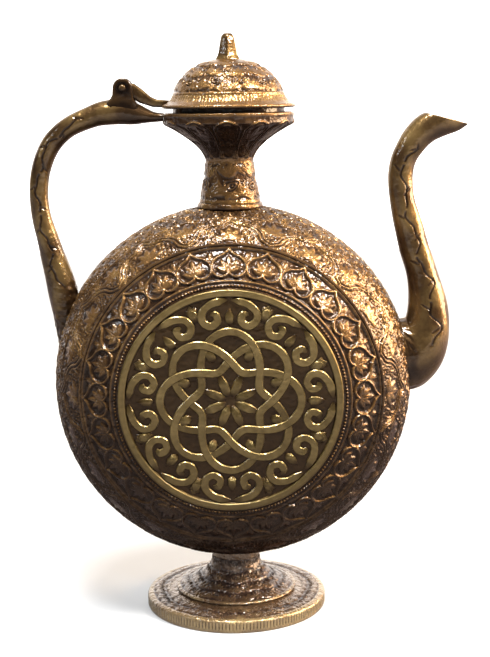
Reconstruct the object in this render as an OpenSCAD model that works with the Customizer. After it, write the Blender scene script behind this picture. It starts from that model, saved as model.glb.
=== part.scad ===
// Lidded water jug of cast brass with a copper-brown finish: a round flat-sided body on a low
// pedestal foot, a swan-neck spout, a strap handle and a domed lid hinged on the handle.
// Frame: +Z up, origin on the axis of neck and foot, in the plane that the foot stands on.
// The front medallion faces -Y, the spout points to +X and the handle to -X. Millimetres.

/* [Body] */
// Diameter of the round body, seen from the front
body_d = 185; // [165:1:225]
// Thickness of the body over the lips that frame the two medallions
body_t = 100; // [84:1:124]
// How square the body's side curve is (2 is a plain ellipse)
body_fullness = 2.15; // [2:0.05:2.4]
// Wall of the cast shells
wall = 2; // [1.4:0.1:3]

/* [Medallions] */
// Diameter of each medallion
medallion_d = 111; // [90:1:120]
// Thickness of the medallion's plate
medallion_plate = 2.6; // [1.6:0.1:4]
// Width of the raised flat rim of the medallion
medallion_rim_w = 3.6; // [2:0.1:6]
// Height of that rim above the plate
medallion_rim_h = 1.3; // [0.6:0.1:2.4]
// Radial gap between the medallion and the lip around it
medallion_gap = 0.1; // [0.05:0.05:0.4]

/* [Foot] */
// Diameter of the foot where it stands
foot_d = 95.4; // [80:0.2:116]
// Height of the body's lowest point above the floor
foot_h = 29; // [24:0.5:36]
// Height of the reeded edge
foot_edge_h = 6.3; // [4:0.1:9]
// Width of the flat ring that the foot stands on
foot_land_w = 4.6; // [3:0.1:8]
// Diameter of the bead at the bottom of the bell
bell_d = 64; // [54:0.5:72]
// Diameter of the stem under the body
stem_d = 25.4; // [20:0.2:32]

/* [Neck and mouth] */
// Diameter of the bead around the bottom of the neck
collar_d = 34; // [30:0.2:42]
// Height of that bead above the top of the body
collar_h = 1.5; // [0.8:0.1:4]
// Diameter of the neck just above the bead
neck_low_d = 31.6; // [26:0.2:33]
// Diameter of the neck at its waist
neck_waist_d = 24.6; // [20:0.2:28]
// Length of the neck from the bead to the waist
neck_len = 21; // [16:0.5:32]
// Diameter of the hole in the top of the body
neck_hole_d = 26.8; // [22:0.2:28]
// Height of the flared cup above the waist
cup_h = 24.3; // [18:0.1:30]
// Outer diameter of the mouth rim
mouth_d = 66.6; // [56:0.2:80]
// Height of the upright band of the mouth rim
mouth_band_h = 6; // [3:0.2:9]
// Bore of the mouth rim
mouth_bore_d = 54.6; // [46:0.2:58]

/* [Lid] */
// Diameter of the lid's flange
lid_d = 68; // [58:0.2:82]
// Diameter of the dome where it leaves the flange
dome_d = 56.6; // [48:0.2:66]
// Height of the lid above the seat, without the finial
dome_h = 25; // [18:0.5:34]
// Thickness of the flange
flange_h = 2.2; // [1.4:0.1:3.5]
// Height of the step that lifts the flange off the mouth rim
lid_lift = 2.1; // [1.2:0.1:4]
// Diameter of that step
lift_d = 57; // [55:0.2:64]
// Depth that the plug reaches into the mouth
plug_depth = 4.6; // [3:0.2:8]
// Radial gap around the plug, which the lid's swing needs
plug_gap = 1.8; // [1.4:0.1:3]
// Height of the finial
finial_h = 12.8; // [8:0.1:20]
// Diameter of the finial at its base
finial_d = 13.4; // [9:0.2:16]

/* [Hinge] */
// Distance of the hinge pin outside the mouth rim
hinge_out = 20.1; // [17:0.1:26]
// Height of the hinge pin above the mouth rim
hinge_up = 12.8; // [10:0.1:16]
// Diameter of the hinge pin
pin_d = 3; // [2:0.1:4]
// Radial running gap between the pin and the lid's arm
pin_gap = 0.06; // [0.02:0.01:0.1]
// Radius of the ears and the knuckle around the pin
ear_r = 4.9; // [4:0.1:6.5]
// Thickness over the two ears
ears_w = 11; // [9:0.2:15]
// Thickness of the lid's arm
arm_w = 4.2; // [3:0.1:6]
// Gap on each side of the arm between the ears
arm_gap = 0.3; // [0.15:0.05:0.6]

/* [Handle] */
// How far the handle stands out past the side of the body
handle_out = 10.8; // [6:0.2:18]
// Half thickness of the handle at its thinnest
handle_r = 4.9; // [4:0.1:6.5]

/* [Spout] */
// How far the tip of the spout reaches past the side of the body
spout_out = 29.6; // [22:0.2:40]
// Drop of the spout's tip below the mouth rim
spout_drop = 7.5; // [2:0.5:20]
// Wall of the spout
spout_wall = 1.6; // [1:0.1:2]
// Diameter of the hole in the body behind the spout
spout_hole_d = 18; // [10:0.5:20]

/* [Hidden] */
turn_fn = 96;
side_count = 20;

body_r = body_d / 2;
body_z = foot_h + body_r;
body_top = foot_h + body_d;
seat_r = medallion_d / 2 + medallion_gap;
lip_w = 1.4;
lip_r = seat_r + lip_w;
lip_y = body_t / 2;
seat_y = lip_y - medallion_plate;
side_steps = 14;

collar_top = body_top + collar_h;
neck_top = collar_top + neck_len;
neck_bore_r = neck_waist_d / 2 - wall;
spigot_r = neck_hole_d / 2 - 0.1;
spigot_len = 9;
mouth_z = neck_top + cup_h;
mouth_r = mouth_d / 2;
lid_z = mouth_z + lid_lift;
lid_top = lid_z + dome_h;
finial_r = finial_d / 2;
stud_r = 1.6;
stud_fit = 0.05;

pin_x = -(mouth_r + hinge_out);
pin_z = mouth_z + hinge_up;
pin_r = pin_d / 2;
slot_w = arm_w + 2 * arm_gap;
slot_below = ear_r + 0.5;
knuckle_r = ear_r - 0.5;
head_r = 2.3;
head_h = 0.9;

brass_dark = [0.36, 0.24, 0.13];
brass_warm = [0.52, 0.34, 0.17];
brass_olive = [0.47, 0.40, 0.22];

// Half thickness of the ellipse that passes through the lip of the medallion's seat
side_half_t = lip_y / pow(1 - pow(lip_r / body_r, body_fullness), 1 / body_fullness);

// Side curve of the body, from the seam outwards to radius r_end: [radius, distance from the seam]
function side_curve(inset, r_end) =
    let (
        r_full = body_r - inset,
        t_full = side_half_t - inset,
        a_end = asin(pow(r_end / r_full, body_fullness / 2))
    )
    [for (i = [0:side_steps])
        let (a = 90 - (90 - a_end) * i / side_steps)
        [r_full * pow(sin(a), 2 / body_fullness), t_full * pow(max(0, cos(a)), 2 / body_fullness)]];

function reversed(list) = [for (i = [len(list) - 1:-1:0]) list[i]];

// Quarter of an ellipse from the side to the top: [radius, height]
function dome_curve(rx, rz, r_top, steps) =
    let (a_end = acos(r_top / rx))
    [for (i = [0:steps]) let (a = a_end * i / steps) [rx * cos(a), rz * sin(a)]];

// The outside of the body as one solid, used to fit foot, collar, spout and handle to it
module body_outside() {
    half = side_curve(0, lip_r);
    translate([0, 0, body_z])
        rotate([90, 45, 0])
            rotate_extrude($fn = turn_fn)
                polygon(concat(
                    [[0, -lip_y]],
                    [for (p = reversed(half)) [p[0], -p[1]]],
                    [for (i = [1:side_steps]) half[i]],
                    [[0, lip_y]]));
}

// One half shell, with its seam at height 0 and its seat for the medallion upwards
module half_shell() {
    inner_seat_y = seat_y - wall;
    inner_t = side_half_t - wall;
    inner_r = body_r - wall;
    inner_end = inner_r * pow(1 - pow(inner_seat_y / inner_t, body_fullness), 1 / body_fullness);
    rotate_extrude($fn = turn_fn)
        polygon(concat(
            side_curve(0, lip_r),
            [[seat_r, lip_y], [seat_r, seat_y], [0, seat_y], [0, inner_seat_y]],
            reversed(side_curve(wall, inner_end))));
}

// Holes in the body for the neck and the spout
module body_holes() {
    translate([0, 0, body_top - 3 * spigot_len])
        rotate([0, 0, 45])
            cylinder(d = neck_hole_d, h = 4 * spigot_len, $fn = turn_fn);
    translate([body_r - 20, 0, spout_root_z])
        rotate([0, 90, 0])
            rotate([0, 0, 45])
                cylinder(d = spout_hole_d, h = 40, $fn = turn_fn);
}

module body_front_shell() {
    color(brass_dark)
        difference() {
            translate([0, 0, body_z]) rotate([90, 45, 0]) half_shell();
            body_holes();
        }
}

module body_back_shell() {
    color(brass_dark)
        difference() {
            translate([0, 0, body_z]) rotate([-90, 45, 0]) half_shell();
            body_holes();
        }
}

// A round plate with a raised rim; its back lies at height 0
module medallion() {
    outer = medallion_d / 2;
    inner = outer - medallion_rim_w;
    face = medallion_plate + medallion_rim_h;
    color(brass_olive)
        rotate_extrude($fn = turn_fn)
            polygon([
                [0, 0], [outer, 0], [outer, face - 0.4], [outer - 0.4, face],
                [inner + 0.4, face], [inner, face - 0.4], [inner, medallion_plate], [0, medallion_plate]]);
}

module front_medallion() {
    translate([0, -seat_y, body_z]) rotate([90, 0, 0]) medallion();
}

module back_medallion() {
    translate([0, seat_y, body_z]) rotate([-90, 0, 0]) medallion();
}

// Flat ring foot: reeded edge outside, shallow slope up to the bell, hollow below
shoulder_z = foot_edge_h + 2.3;
shoulder_r = bell_d / 2 - 1;
module foot_disc() {
    outer = foot_d / 2;
    under_r = outer - foot_land_w;
    under_z = foot_edge_h - wall;
    color(brass_olive)
        rotate_extrude($fn = turn_fn)
            polygon([
                [under_r, 0], [outer - 0.5, 0], [outer, 0.5], [outer, foot_edge_h - 0.8],
                [outer - 1.6, foot_edge_h + 0.5], [shoulder_r, shoulder_z],
                [shoulder_r - 4, shoulder_z], [shoulder_r - 4, shoulder_z - wall],
                [under_r - 4, under_z], [under_r, under_z - 1.5]]);
}

// Bell-shaped stem of the foot, with a bead at its lower edge
module foot_bell() {
    top_z = foot_h + 4;
    bead_z = shoulder_z + 1.1;
    low_r = shoulder_r - 1.6;
    stem_r = stem_d / 2;
    waist_z = foot_h - 4;
    bell = [for (i = [0:10]) let (f = i / 10)
        [stem_r + (low_r - stem_r) * pow(1 - f, 2.1), bead_z + 1 + (waist_z - bead_z - 1) * f]];
    color(brass_dark)
        difference() {
            rotate([0, 0, 45]) rotate_extrude($fn = turn_fn)
                polygon(concat(
                    [[shoulder_r - 3, shoulder_z], [shoulder_r + 0.4, shoulder_z],
                     [shoulder_r + 1, bead_z - 0.5], [shoulder_r + 1, bead_z],
                     [shoulder_r + 0.4, bead_z + 0.6], [shoulder_r - 0.8, bead_z + 0.8]],
                    bell,
                    [[stem_r, top_z], [stem_r - wall, top_z]],
                    [for (p = reversed(bell)) [p[0] - wall, p[1] - 0.9]]));
            body_outside();
        }
}

// Round bead that hides the joint of neck and body
module neck_collar() {
    outer = collar_d / 2;
    low_z = body_top - 6;
    bead_r = 2.4;
    color(brass_warm)
        difference() {
            rotate([0, 0, 45]) rotate_extrude($fn = turn_fn)
                polygon(concat(
                    [[neck_hole_d / 2, low_z], [outer - 0.6, low_z], [outer - 0.6, collar_top - 2 * bead_r]],
                    [for (a = [-60:30:60])
                        [outer - bead_r + bead_r * cos(a), collar_top - bead_r + bead_r * sin(a)]],
                    [[outer - bead_r, collar_top], [neck_hole_d / 2, collar_top]]));
            body_outside();
        }
}

// Waisted neck tube; its spigot goes through the bead into the top of the body
module neck_stem() {
    low_r = neck_low_d / 2;
    waist_r = neck_waist_d / 2;
    side = [for (i = [0:8]) let (f = i / 8)
        [waist_r + (low_r - waist_r) * pow(1 - f, 1.35), collar_top + neck_len * f]];
    color(brass_dark)
        rotate_extrude($fn = turn_fn)
            polygon(concat(
                [[neck_bore_r, collar_top - spigot_len], [spigot_r, collar_top - spigot_len],
                 [spigot_r, collar_top]],
                side,
                [[neck_bore_r, neck_top]]));
}

// Flared cup with an upright rim band and a lip turned inwards
module mouth_cup() {
    waist_r = neck_waist_d / 2;
    band_z = mouth_z - mouth_band_h;
    lip_in = mouth_bore_d / 2;
    lip_t = 2.6;
    flare = [for (i = [0:9]) let (f = i / 9)
        [waist_r + (mouth_r - 0.7 - waist_r) * pow(f, 1.75), neck_top + (band_z - neck_top) * f]];
    color(brass_warm)
        rotate_extrude($fn = turn_fn)
            polygon(concat(
                flare,
                [[mouth_r, band_z + 0.8], [mouth_r, mouth_z - 0.5], [mouth_r - 0.5, mouth_z],
                 [lip_in, mouth_z], [lip_in, mouth_z - lip_t]],
                [for (i = [8:-1:1]) [min(flare[i][0] - wall, lip_in), flare[i][1] + wall * 0.8]],
                [[neck_bore_r, neck_top]]));
}

// Outside of the lid as one solid, from the flange over a flared foot to the flat under the finial
flat_r = finial_r + 0.3;
module lid_outside() {
    flange_r = lid_d / 2;
    rx = dome_d / 2;
    start_z = lid_z + flange_h + 1.4;
    curve = dome_curve(rx, lid_top - start_z, flat_r, 10);
    rotate_extrude($fn = turn_fn)
        polygon(concat(
            [[0, lid_z], [flange_r - 0.5, lid_z], [flange_r, lid_z + 0.6],
             [flange_r, lid_z + flange_h - 0.7], [flange_r - 0.7, lid_z + flange_h - 0.1],
             [flange_r - 2, lid_z + flange_h + 0.3], [flange_r - 3.4, lid_z + flange_h + 1.3],
             [flange_r - 4.6, lid_z + flange_h + 2.7], [rx + 0.2, lid_z + flange_h + 4.4]],
            [for (i = [2:10]) let (p = curve[i]) [p[0], start_z + p[1]]],
            [[0, dome_flat_z]]));
}
dome_flat_z = lid_z + flange_h + 1.4
    + (dome_h - flange_h - 1.4) * sin(acos(flat_r / (dome_d / 2)));

module lid_dome() {
    rx = dome_d / 2 - wall;
    rise = dome_flat_z - wall - lid_z - flange_h;
    color(brass_dark)
        difference() {
            lid_outside();
            translate([0, 0, lid_z + flange_h])
                rotate_extrude($fn = turn_fn)
                    polygon(concat([[0, -flange_h - 1], [rx, -flange_h - 1]],
                        dome_curve(rx, rise, 2, 8), [[0, rise]]));
            translate([0, 0, lid_z])
                cylinder(r = stud_r + stud_fit, h = 2 * dome_h, $fn = 48);
        }
}

// Stepped ring under the lid: the step rests on the mouth rim, the plug enters the mouth
module lid_locating_ring() {
    plug_r = mouth_bore_d / 2 - plug_gap;
    color(brass_dark)
        rotate_extrude($fn = turn_fn)
            polygon([
                [plug_r - wall, mouth_z - plug_depth], [plug_r, mouth_z - plug_depth],
                [plug_r, mouth_z], [lift_d / 2, mouth_z], [lift_d / 2, lid_z], [plug_r - wall, lid_z]]);
}

// Bud-shaped knob with a stud that goes through the dome and is peened under it
module lid_finial() {
    tip_z = dome_flat_z + finial_h;
    tip_r = 3;
    waist_r = 5.2;
    color(brass_olive)
        rotate_extrude($fn = turn_fn)
            polygon(concat(
                [[0, dome_flat_z - wall - 1.2], [stud_r, dome_flat_z - wall - 1.2],
                 [stud_r, dome_flat_z], [finial_r, dome_flat_z], [finial_r - 0.5, dome_flat_z + 0.8],
                 [waist_r, dome_flat_z + 3]],
                [for (a = [0:18:90]) [tip_r * cos(a) + 0.2, tip_z - tip_r + tip_r * sin(a)]],
                [[0, tip_z]]));
}

// Arm that carries the lid: a knuckle on the pin and a tongue down to the flange
module lid_arm() {
    edge = -lid_d / 2;
    z0 = lid_z;
    inner = 0.7 * knuckle_r;
    tongue = [
        [pin_x + inner * 0.7, pin_z + inner], [pin_x + 5.4, pin_z + 2.5], [pin_x + 9.9, pin_z - 1],
        [edge - 5.6, z0 + 6.2], [edge - 2.3, z0 + 4.7], [edge + 4, z0 + 3.8],
        [edge + 4, z0 + 0.4], [edge - 4.5, z0 + 0.9], [pin_x + 8.2, pin_z - 7.6],
        [pin_x + 4.4, pin_z - 4.7], [pin_x + inner * 0.7, pin_z - inner]];
    color(brass_dark)
        difference() {
            translate([0, arm_w / 2, 0])
                rotate([90, 0, 0])
                    union() {
                        translate([pin_x, pin_z]) cylinder(r = knuckle_r, h = arm_w, $fn = 64);
                        linear_extrude(arm_w) polygon(tongue);
                    }
            lid_outside();
            translate([pin_x, arm_w, pin_z])
                rotate([90, 0, 0])
                    cylinder(r = pin_r + pin_gap, h = 2 * arm_w, $fn = 64);
        }
}

// Rivet that the lid turns on, with a round head at each end
module hinge_pin() {
    color(brass_warm)
        translate([pin_x, 0, pin_z])
            rotate([90, 0, 0])
                rotate_extrude($fn = 64)
                    polygon([
                        [0, -ears_w / 2 - head_h], [head_r - 0.7, -ears_w / 2 - head_h],
                        [head_r, -ears_w / 2], [pin_r, -ears_w / 2], [pin_r, ears_w / 2],
                        [head_r, ears_w / 2], [head_r - 0.7, ears_w / 2 + head_h],
                        [0, ears_w / 2 + head_h]]);
}

// Closed skin over rings that all have the same number of points
module skin(rings, closed_loop) {
    count = len(rings);
    n = len(rings[0]);
    sides = [for (i = [0:count - (closed_loop ? 1 : 2)], j = [0:n - 1])
        let (k = (i + 1) % count, m = (j + 1) % n)
        [[i * n + j, k * n + j, k * n + m], [i * n + j, k * n + m, i * n + m]]];
    caps = closed_loop ? [] : [
        [for (j = [0:n - 1]) j],
        [for (j = [n - 1:-1:0]) (count - 1) * n + j]];
    polyhedron([for (ring = rings, p = ring) p], concat([for (q = sides, f = q) f], caps), convexity = 6);
}

// Oval ring across the XZ plane from point p to point q, `half_w` wide each way in Y.
// `point` sharpens the end at q, and `inset` draws the ring inside the first one.
function oval(p, q, half_w, point, inset) =
    let (c = (p + q) / 2, h = norm(q - p) / 2, u = (q - p) / (2 * h))
    [for (j = [0:side_count - 1])
        let (a = 360 * j / side_count, along = (h - inset) * cos(a), w = half_w - inset)
        [c[0] + u[0] * along, w * sin(a) * (1 - point * cos(a)), c[1] + u[1] * along]];

// Places beside the body: x past its side, z as a share of the height from its middle to the rim
function beside(side, out, share) = [side * (body_r + out), body_z + (mouth_z - body_z) * share];

// Handle, from the mouth rim over the hinge and down to its root on the body:
// [centre, half thickness, half width]
handle_low = handle_out - handle_r;
handle_path = [
    [[-mouth_r + 3, mouth_z - 2.2], 1.9, 3.4],
    [[-mouth_r - 4, mouth_z - 2], 2.6, 3.8],
    [[-mouth_r - 9, mouth_z - 1.2], 3.9, 4.6],
    [[pin_x + 5.5, mouth_z - 0.2], 5.6, 5.3],
    [[pin_x - 3, mouth_z + 0.9], 6.4, 5.5],
    [[pin_x - 10.5, mouth_z + 0.3], 6.2, 5.5],
    [beside(-1, -22, 0.988), 5.6, 5.4],
    [beside(-1, -10.5, 0.953), handle_r + 0.3, 5.4],
    [beside(-1, -1.5, 0.893), handle_r + 0.2, 5.4],
    [beside(-1, handle_low - 2.2, 0.815), handle_r + 0.1, 5.4],
    [beside(-1, handle_low, 0.72), handle_r, 5.4],
    [beside(-1, handle_low - 1, 0.625), handle_r + 0.1, 5.6],
    [beside(-1, 1.6, 0.53), handle_r + 0.9, 6.2],
    [beside(-1, -1.6, 0.44), handle_r + 2, 7.2],
    [beside(-1, -4.4, 0.355), handle_r + 2.8, 8.2],
    [beside(-1, -6.2, 0.26), handle_r + 2.2, 8.2],
    [beside(-1, -6.6, 0.175), handle_r + 0.6, 7],
    [beside(-1, -6.6, 0.11), handle_r - 0.8, 5.6]
];

function tangent(path, i) =
    let (d = path[min(i + 1, len(path) - 1)][0] - path[max(i - 1, 0)][0]) d / norm(d);

module handle_bar() {
    last = len(handle_path) - 1;
    skin([for (i = [0:last])
        let (s = handle_path[i], t = tangent(handle_path, i), across = [t[1], -t[0]])
        oval(s[0] - across * s[1], s[0] + across * s[1], s[2], 0, 0)], false);
}

// Two ears that hold the hinge pin, as one block before the slot is cut
module hinge_boss() {
    foot_half = ear_r + 1.6;
    foot_z = mouth_z;
    translate([0, ears_w / 2, 0])
        rotate([90, 0, 0])
            linear_extrude(ears_w)
                union() {
                    translate([pin_x, pin_z]) circle(r = ear_r, $fn = 64);
                    polygon([
                        [pin_x - ear_r, pin_z], [pin_x + ear_r, pin_z],
                        [pin_x + ear_r, mouth_z + 5], [pin_x + foot_half, foot_z],
                        [pin_x - foot_half - 1, foot_z], [pin_x - ear_r - 0.5, mouth_z + 7.5]]);
                }
}

module handle() {
    color(brass_olive)
        difference() {
            union() {
                handle_bar();
                hinge_boss();
            }
            translate([pin_x - 4 * ear_r, -slot_w / 2, pin_z - slot_below])
                cube([8 * ear_r, slot_w, 4 * ear_r]);
            translate([pin_x, ears_w, pin_z])
                rotate([90, 0, 0])
                    cylinder(r = pin_r, h = 2 * ears_w, $fn = 64);
            translate([0, 0, mouth_z - 2 * cup_h])
                cylinder(r = mouth_r, h = 3 * cup_h, $fn = turn_fn);
            body_outside();
        }
}

// Spout, from its root inside the body to the open beak:
// [upper or inner edge, lower or outer edge, half width, sharpness of the outer edge]
spout_root_z = body_z + 12.5;
tip_z = mouth_z - spout_drop;
beak = body_r + spout_out;
spout_path = [
    [[body_r - 12, body_z + 30], [body_r - 12, body_z - 6], 14.5, 0],
    [[body_r - 3, body_z + 32], [body_r + 2.6, body_z - 5.6], 14.5, 0],
    [[body_r - 1.9, body_z + 33.2], [body_r + 10.8, body_z - 0.6], 14, 0],
    [[body_r - 1.5, body_z + 34.6], [body_r + 17, body_z + 8], 13.4, 0],
    [[body_r - 1.2, body_z + 36.4], [body_r + 20, body_z + 18], 12.6, 0],
    [beside(1, -0.9, 0.283), beside(1, 20.7, 0.205), 11.5, 0],
    [beside(1, -0.7, 0.315), beside(1, 19.6, 0.281), 10.3, 0],
    [beside(1, -1, 0.358), beside(1, 17.2, 0.345), 9.2, 0],
    [beside(1, -2.3, 0.413), beside(1, 13.8, 0.415), 8.2, 0],
    [beside(1, -5.4, 0.485), beside(1, 10, 0.497), 7.7, 0],
    [beside(1, -8.4, 0.578), beside(1, 6, 0.593), 7.2, 0],
    [beside(1, -10.8, 0.682), beside(1, 2, 0.682), 6.4, 0],
    [beside(1, -11.4, 0.745), beside(1, 1.2, 0.735), 6.2, 0],
    [beside(1, -11, 0.79), beside(1, 1.5, 0.776), 6.1, 0],
    [beside(1, -9.6, 0.836), beside(1, 3, 0.815), 6.2, 0],
    [[beak - 36.2, tip_z - 8.6], [beak - 23.4, tip_z - 13.8], 6.5, 0],
    [[beak - 33.2, tip_z - 3.4], [beak - 18.6, tip_z - 9], 6.7, 0.05],
    [[beak - 28.8, tip_z + 1.8], [beak - 12, tip_z - 5.8], 6.7, 0.15],
    [[beak - 25, tip_z + 4.9], [beak - 5, tip_z - 3.4], 6.2, 0.32],
    [[beak - 22.4, tip_z + 6], [beak, tip_z], 5.6, 0.5]
];

module spout() {
    last = len(spout_path) - 1;
    outside = [for (s = spout_path) oval(s[0], s[1], s[2], s[3], 0)];
    inside = [for (i = [last:-1:0])
        let (s = spout_path[i]) oval(s[0], s[1], s[2], s[3], spout_wall)];
    color(brass_olive)
        difference() {
            skin(concat(outside, inside), true);
            body_outside();
        }
}

body_front_shell();
body_back_shell();
front_medallion();
back_medallion();
foot_disc();
foot_bell();
neck_collar();
neck_stem();
mouth_cup();
spout();
handle();
hinge_pin();
lid_dome();
lid_locating_ring();
lid_finial();
lid_arm();
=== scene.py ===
# %% [markdown]
# A lidded water jug of cast brass. The looks are built round a fixed frame: the jug's designed parts, already
# at their real size, with the lid hinged on the handle. Every visible piece is made here in millimetres, as a
# brass founder would measure it, and is brought to metres when it is finished.

# %% Bring in the jug's frame
import math

import bmesh
import bpy
import numpy as np
from mathutils import Matrix, Vector


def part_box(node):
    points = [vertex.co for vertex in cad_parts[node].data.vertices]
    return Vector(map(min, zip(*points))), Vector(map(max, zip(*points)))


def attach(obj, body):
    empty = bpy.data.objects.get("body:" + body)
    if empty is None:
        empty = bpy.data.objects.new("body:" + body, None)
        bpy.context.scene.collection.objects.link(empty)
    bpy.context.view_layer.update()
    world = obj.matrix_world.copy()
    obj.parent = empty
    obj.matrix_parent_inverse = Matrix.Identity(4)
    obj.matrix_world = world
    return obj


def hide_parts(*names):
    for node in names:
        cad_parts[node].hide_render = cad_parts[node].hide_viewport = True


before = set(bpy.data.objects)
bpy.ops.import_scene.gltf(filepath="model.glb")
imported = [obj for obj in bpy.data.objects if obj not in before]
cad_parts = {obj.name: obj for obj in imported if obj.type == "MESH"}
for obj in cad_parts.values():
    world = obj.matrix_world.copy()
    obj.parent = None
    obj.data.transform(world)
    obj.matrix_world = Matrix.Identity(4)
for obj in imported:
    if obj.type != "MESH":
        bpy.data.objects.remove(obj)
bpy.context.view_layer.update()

# %% [markdown]
# The places of the pieces come from the frame, so that nothing has to be fitted afterwards. A box gives the
# lowest and highest corner of a part. The round body's radius, the height of its middle, the medallion's radius
# and the mouth's height are all read from such boxes and kept in millimetres.

# %% Read the sizes off the frame
MM = 0.001


def corners(node):
    """Lowest and highest corner of a part, in millimetres."""
    low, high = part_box(node)
    return low / MM, high / MM


shell_low, shell_high = corners("body_front_shell")
body_r = (shell_high.x - shell_low.x) / 2
body_z = shell_low.z + body_r
lip_y = -shell_low.y
medal_low, medal_high = corners("front_medallion")
medal_r = (medal_high.x - medal_low.x) / 2
seat_y = -medal_high.y
foot_r = corners("foot_disc")[1].x
stem_low, stem_high = corners("neck_stem")
collar_high = corners("neck_collar")[1]
cup_low, cup_high = corners("mouth_cup")
mouth_z = cup_high.z
mouth_r = cup_high.x
lid_low, lid_high = corners("lid_dome")
lid_r = lid_high.x
tip_z = corners("lid_finial")[1].z
pin_low, pin_high = corners("hinge_pin")
pin_x = (pin_low.x + pin_high.x) / 2
pin_z = (pin_low.z + pin_high.z) / 2
print(f"body radius {body_r:.1f}, middle at {body_z:.1f}, mouth at {mouth_z:.1f}")
print(f"pin at {pin_x:.1f}, {pin_z:.1f}")

# %% [markdown]
# Cast brass relief is soft: every ridge is rounded and every leaf swells from its edge to its middle. It could
# be modelled leaf by leaf, but a surface with thousands of points can be pressed by sums instead. Each shape
# here takes places in millimetres and gives a height from 0 to 1, for all the points at once.

# %% Ridges, steps and leaves
VEIN_WIDTH = 0.22


def ridge(distance, half_width):
    """A rounded ridge: 1 on its centre line and 0 from half_width outwards."""
    return np.clip(1 - (distance / half_width) ** 2, 0, 1)


def step(value, edge, soft):
    """0 below the edge and 1 above it, with a soft slope between."""
    t = np.clip((value - edge) / soft + 0.5, 0, 1)
    return t * t * (3 - 2 * t)


def span(value, start, end, soft, soft_end=None):
    """1 between two edges and 0 outside them, with soft slopes."""
    return step(value, start, soft) * (1 - step(value, end, soft_end or soft))


def turned(x, y, degrees):
    """The same place, seen from axes that are turned by that angle."""
    c, s = math.cos(math.radians(degrees)), math.sin(math.radians(degrees))
    return c * x + s * y, c * y - s * x


def leaf(x, y, length, half_width, vein=0.35):
    """A pointed leaf from the origin along +y, swelling to its middle, with a sunk vein."""
    t = np.clip(y / length, 0.001, 0.999)
    side = half_width * np.sin(math.pi * t ** 0.8)
    swell = np.clip(1 - np.abs(x) / np.maximum(side, 0.05), 0, 1) ** 0.5
    inside = (y > 0) & (y < length)
    return inside * (swell - vein * swell * np.exp(-(x / VEIN_WIDTH) ** 2))


def fan(x, y, size, count, spread):
    """A palmette: leaves that fan out from one point, each a tenth shorter than its inner neighbour."""
    best = np.zeros_like(x)
    for k in range(count):
        from_middle = k - (count - 1) / 2
        a, b = turned(x, y, from_middle * spread)
        length = size * (1 - 0.1 * abs(from_middle))
        best = np.maximum(best, leaf(a, b, length, 0.23 * size))
    return best


print("a leaf's highest point:", round(float(leaf(np.array([0.6]), np.array([2.5]), 5, 2)[0]), 2))

# %% [markdown]
# Hearts, arches and vines follow curves. A curve is given by a few places and filled in with a smooth line
# that goes through all of them, and a ridge then stands along it wherever the distance to that line is small.

# %% Smooth lines and the distance to them
def line_distance(x, y, points):
    """Distance from a place to a line through the points."""
    best = np.full_like(x, 1e9)
    for (ax, ay), (bx, by) in zip(points, points[1:]):
        dx, dy = bx - ax, by - ay
        t = np.clip(((x - ax) * dx + (y - ay) * dy) / (dx * dx + dy * dy), 0, 1)
        best = np.minimum(best, np.hypot(x - ax - t * dx, y - ay - t * dy))
    return best


def densified(values, per_span):
    """Rows of numbers with more rows between them, on a smooth line through all of them."""
    p = np.array(values, float)
    p = np.vstack([2 * p[0] - p[1], p, 2 * p[-1] - p[-2]])
    t = (np.arange(per_span) / per_span)[:, None]
    rows = [0.5 * (2 * b + (c - a) * t + (2 * a - 5 * b + 4 * c - d) * t ** 2 + (3 * b - a - 3 * c + d) * t ** 3)
            for a, b, c, d in zip(p, p[1:], p[2:], p[3:])]
    return np.vstack(rows + [p[-2:-1]])


def smooth_line(points, per_span=6):
    """A curve through the points, as a denser list."""
    return [tuple(place) for place in densified(points, per_span)]


print("places on a smooth line through three:", len(smooth_line([(0, 0), (1, 1), (2, 0)])))

# %% [markdown]
# The ground between the figures is a dense growth of curled tendrils. A spiral is the simplest curl: its
# height rises and falls with the distance from its middle, shifted by the angle. The curls sit like bricks,
# every second one turning the other way. Real castings are also never quite even, so a slow wave goes over
# every surface, and each place is rubbed by how high it stands.

# %% Scrolls, unevenness and wear
ROW_SPACING = 0.87


def folded(angle, count):
    """Angle from the middle of the nearest of `count` equal cells."""
    pitch = 2 * math.pi / count
    return angle - np.round(angle / pitch) * pitch


def scrolls(u, v, pitch, hand):
    """A dense ground of curled tendrils and small leaves in a brick pattern."""
    row = np.round(v / (ROW_SPACING * pitch))
    a = u - 0.5 * pitch * (row % 2)
    col = np.round(a / pitch)
    a, b = a - col * pitch, v - row * ROW_SPACING * pitch
    turn = np.where((row + col + hand) % 2 == 0, 1.0, -1.0)
    radius = np.hypot(a, b)
    curl = radius / (0.2 * pitch) - turn * np.arctan2(b, a) / (2 * math.pi)
    tendril = (0.5 + 0.5 * np.cos(2 * math.pi * curl)) * (1 - step(radius, 0.47 * pitch, 0.16 * pitch))
    spike = np.abs(np.cos(1.5 * np.arctan2(b, a) + 0.8 * row))
    return np.maximum(tendril, step(radius, 0.5 * pitch, 0.14 * pitch) * spike * 0.9)


def unevenness(u, v):
    """The slow waviness of a hand-finished casting, from about -1 to 1."""
    return (np.sin(0.61 * u + 1.3 * np.sin(0.37 * v)) + np.sin(0.83 * v + 1.7 * np.sin(0.29 * u + 1))) / 2


def wavy(along, angle, radius):
    """The same waviness for a turned piece, without a break where the angle starts again."""
    return unevenness(radius * np.cos(angle) + 0.7 * along, radius * np.sin(angle) - 0.4 * along)


def worn(top, ground, high):
    """How bright metal is rubbed: highest on the tops and darkest in the crease at the foot of a relief."""
    crease = ridge(top - 0.14, 0.16)
    return ground + (high - ground) * top ** 1.2 - 0.20 * crease


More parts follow.
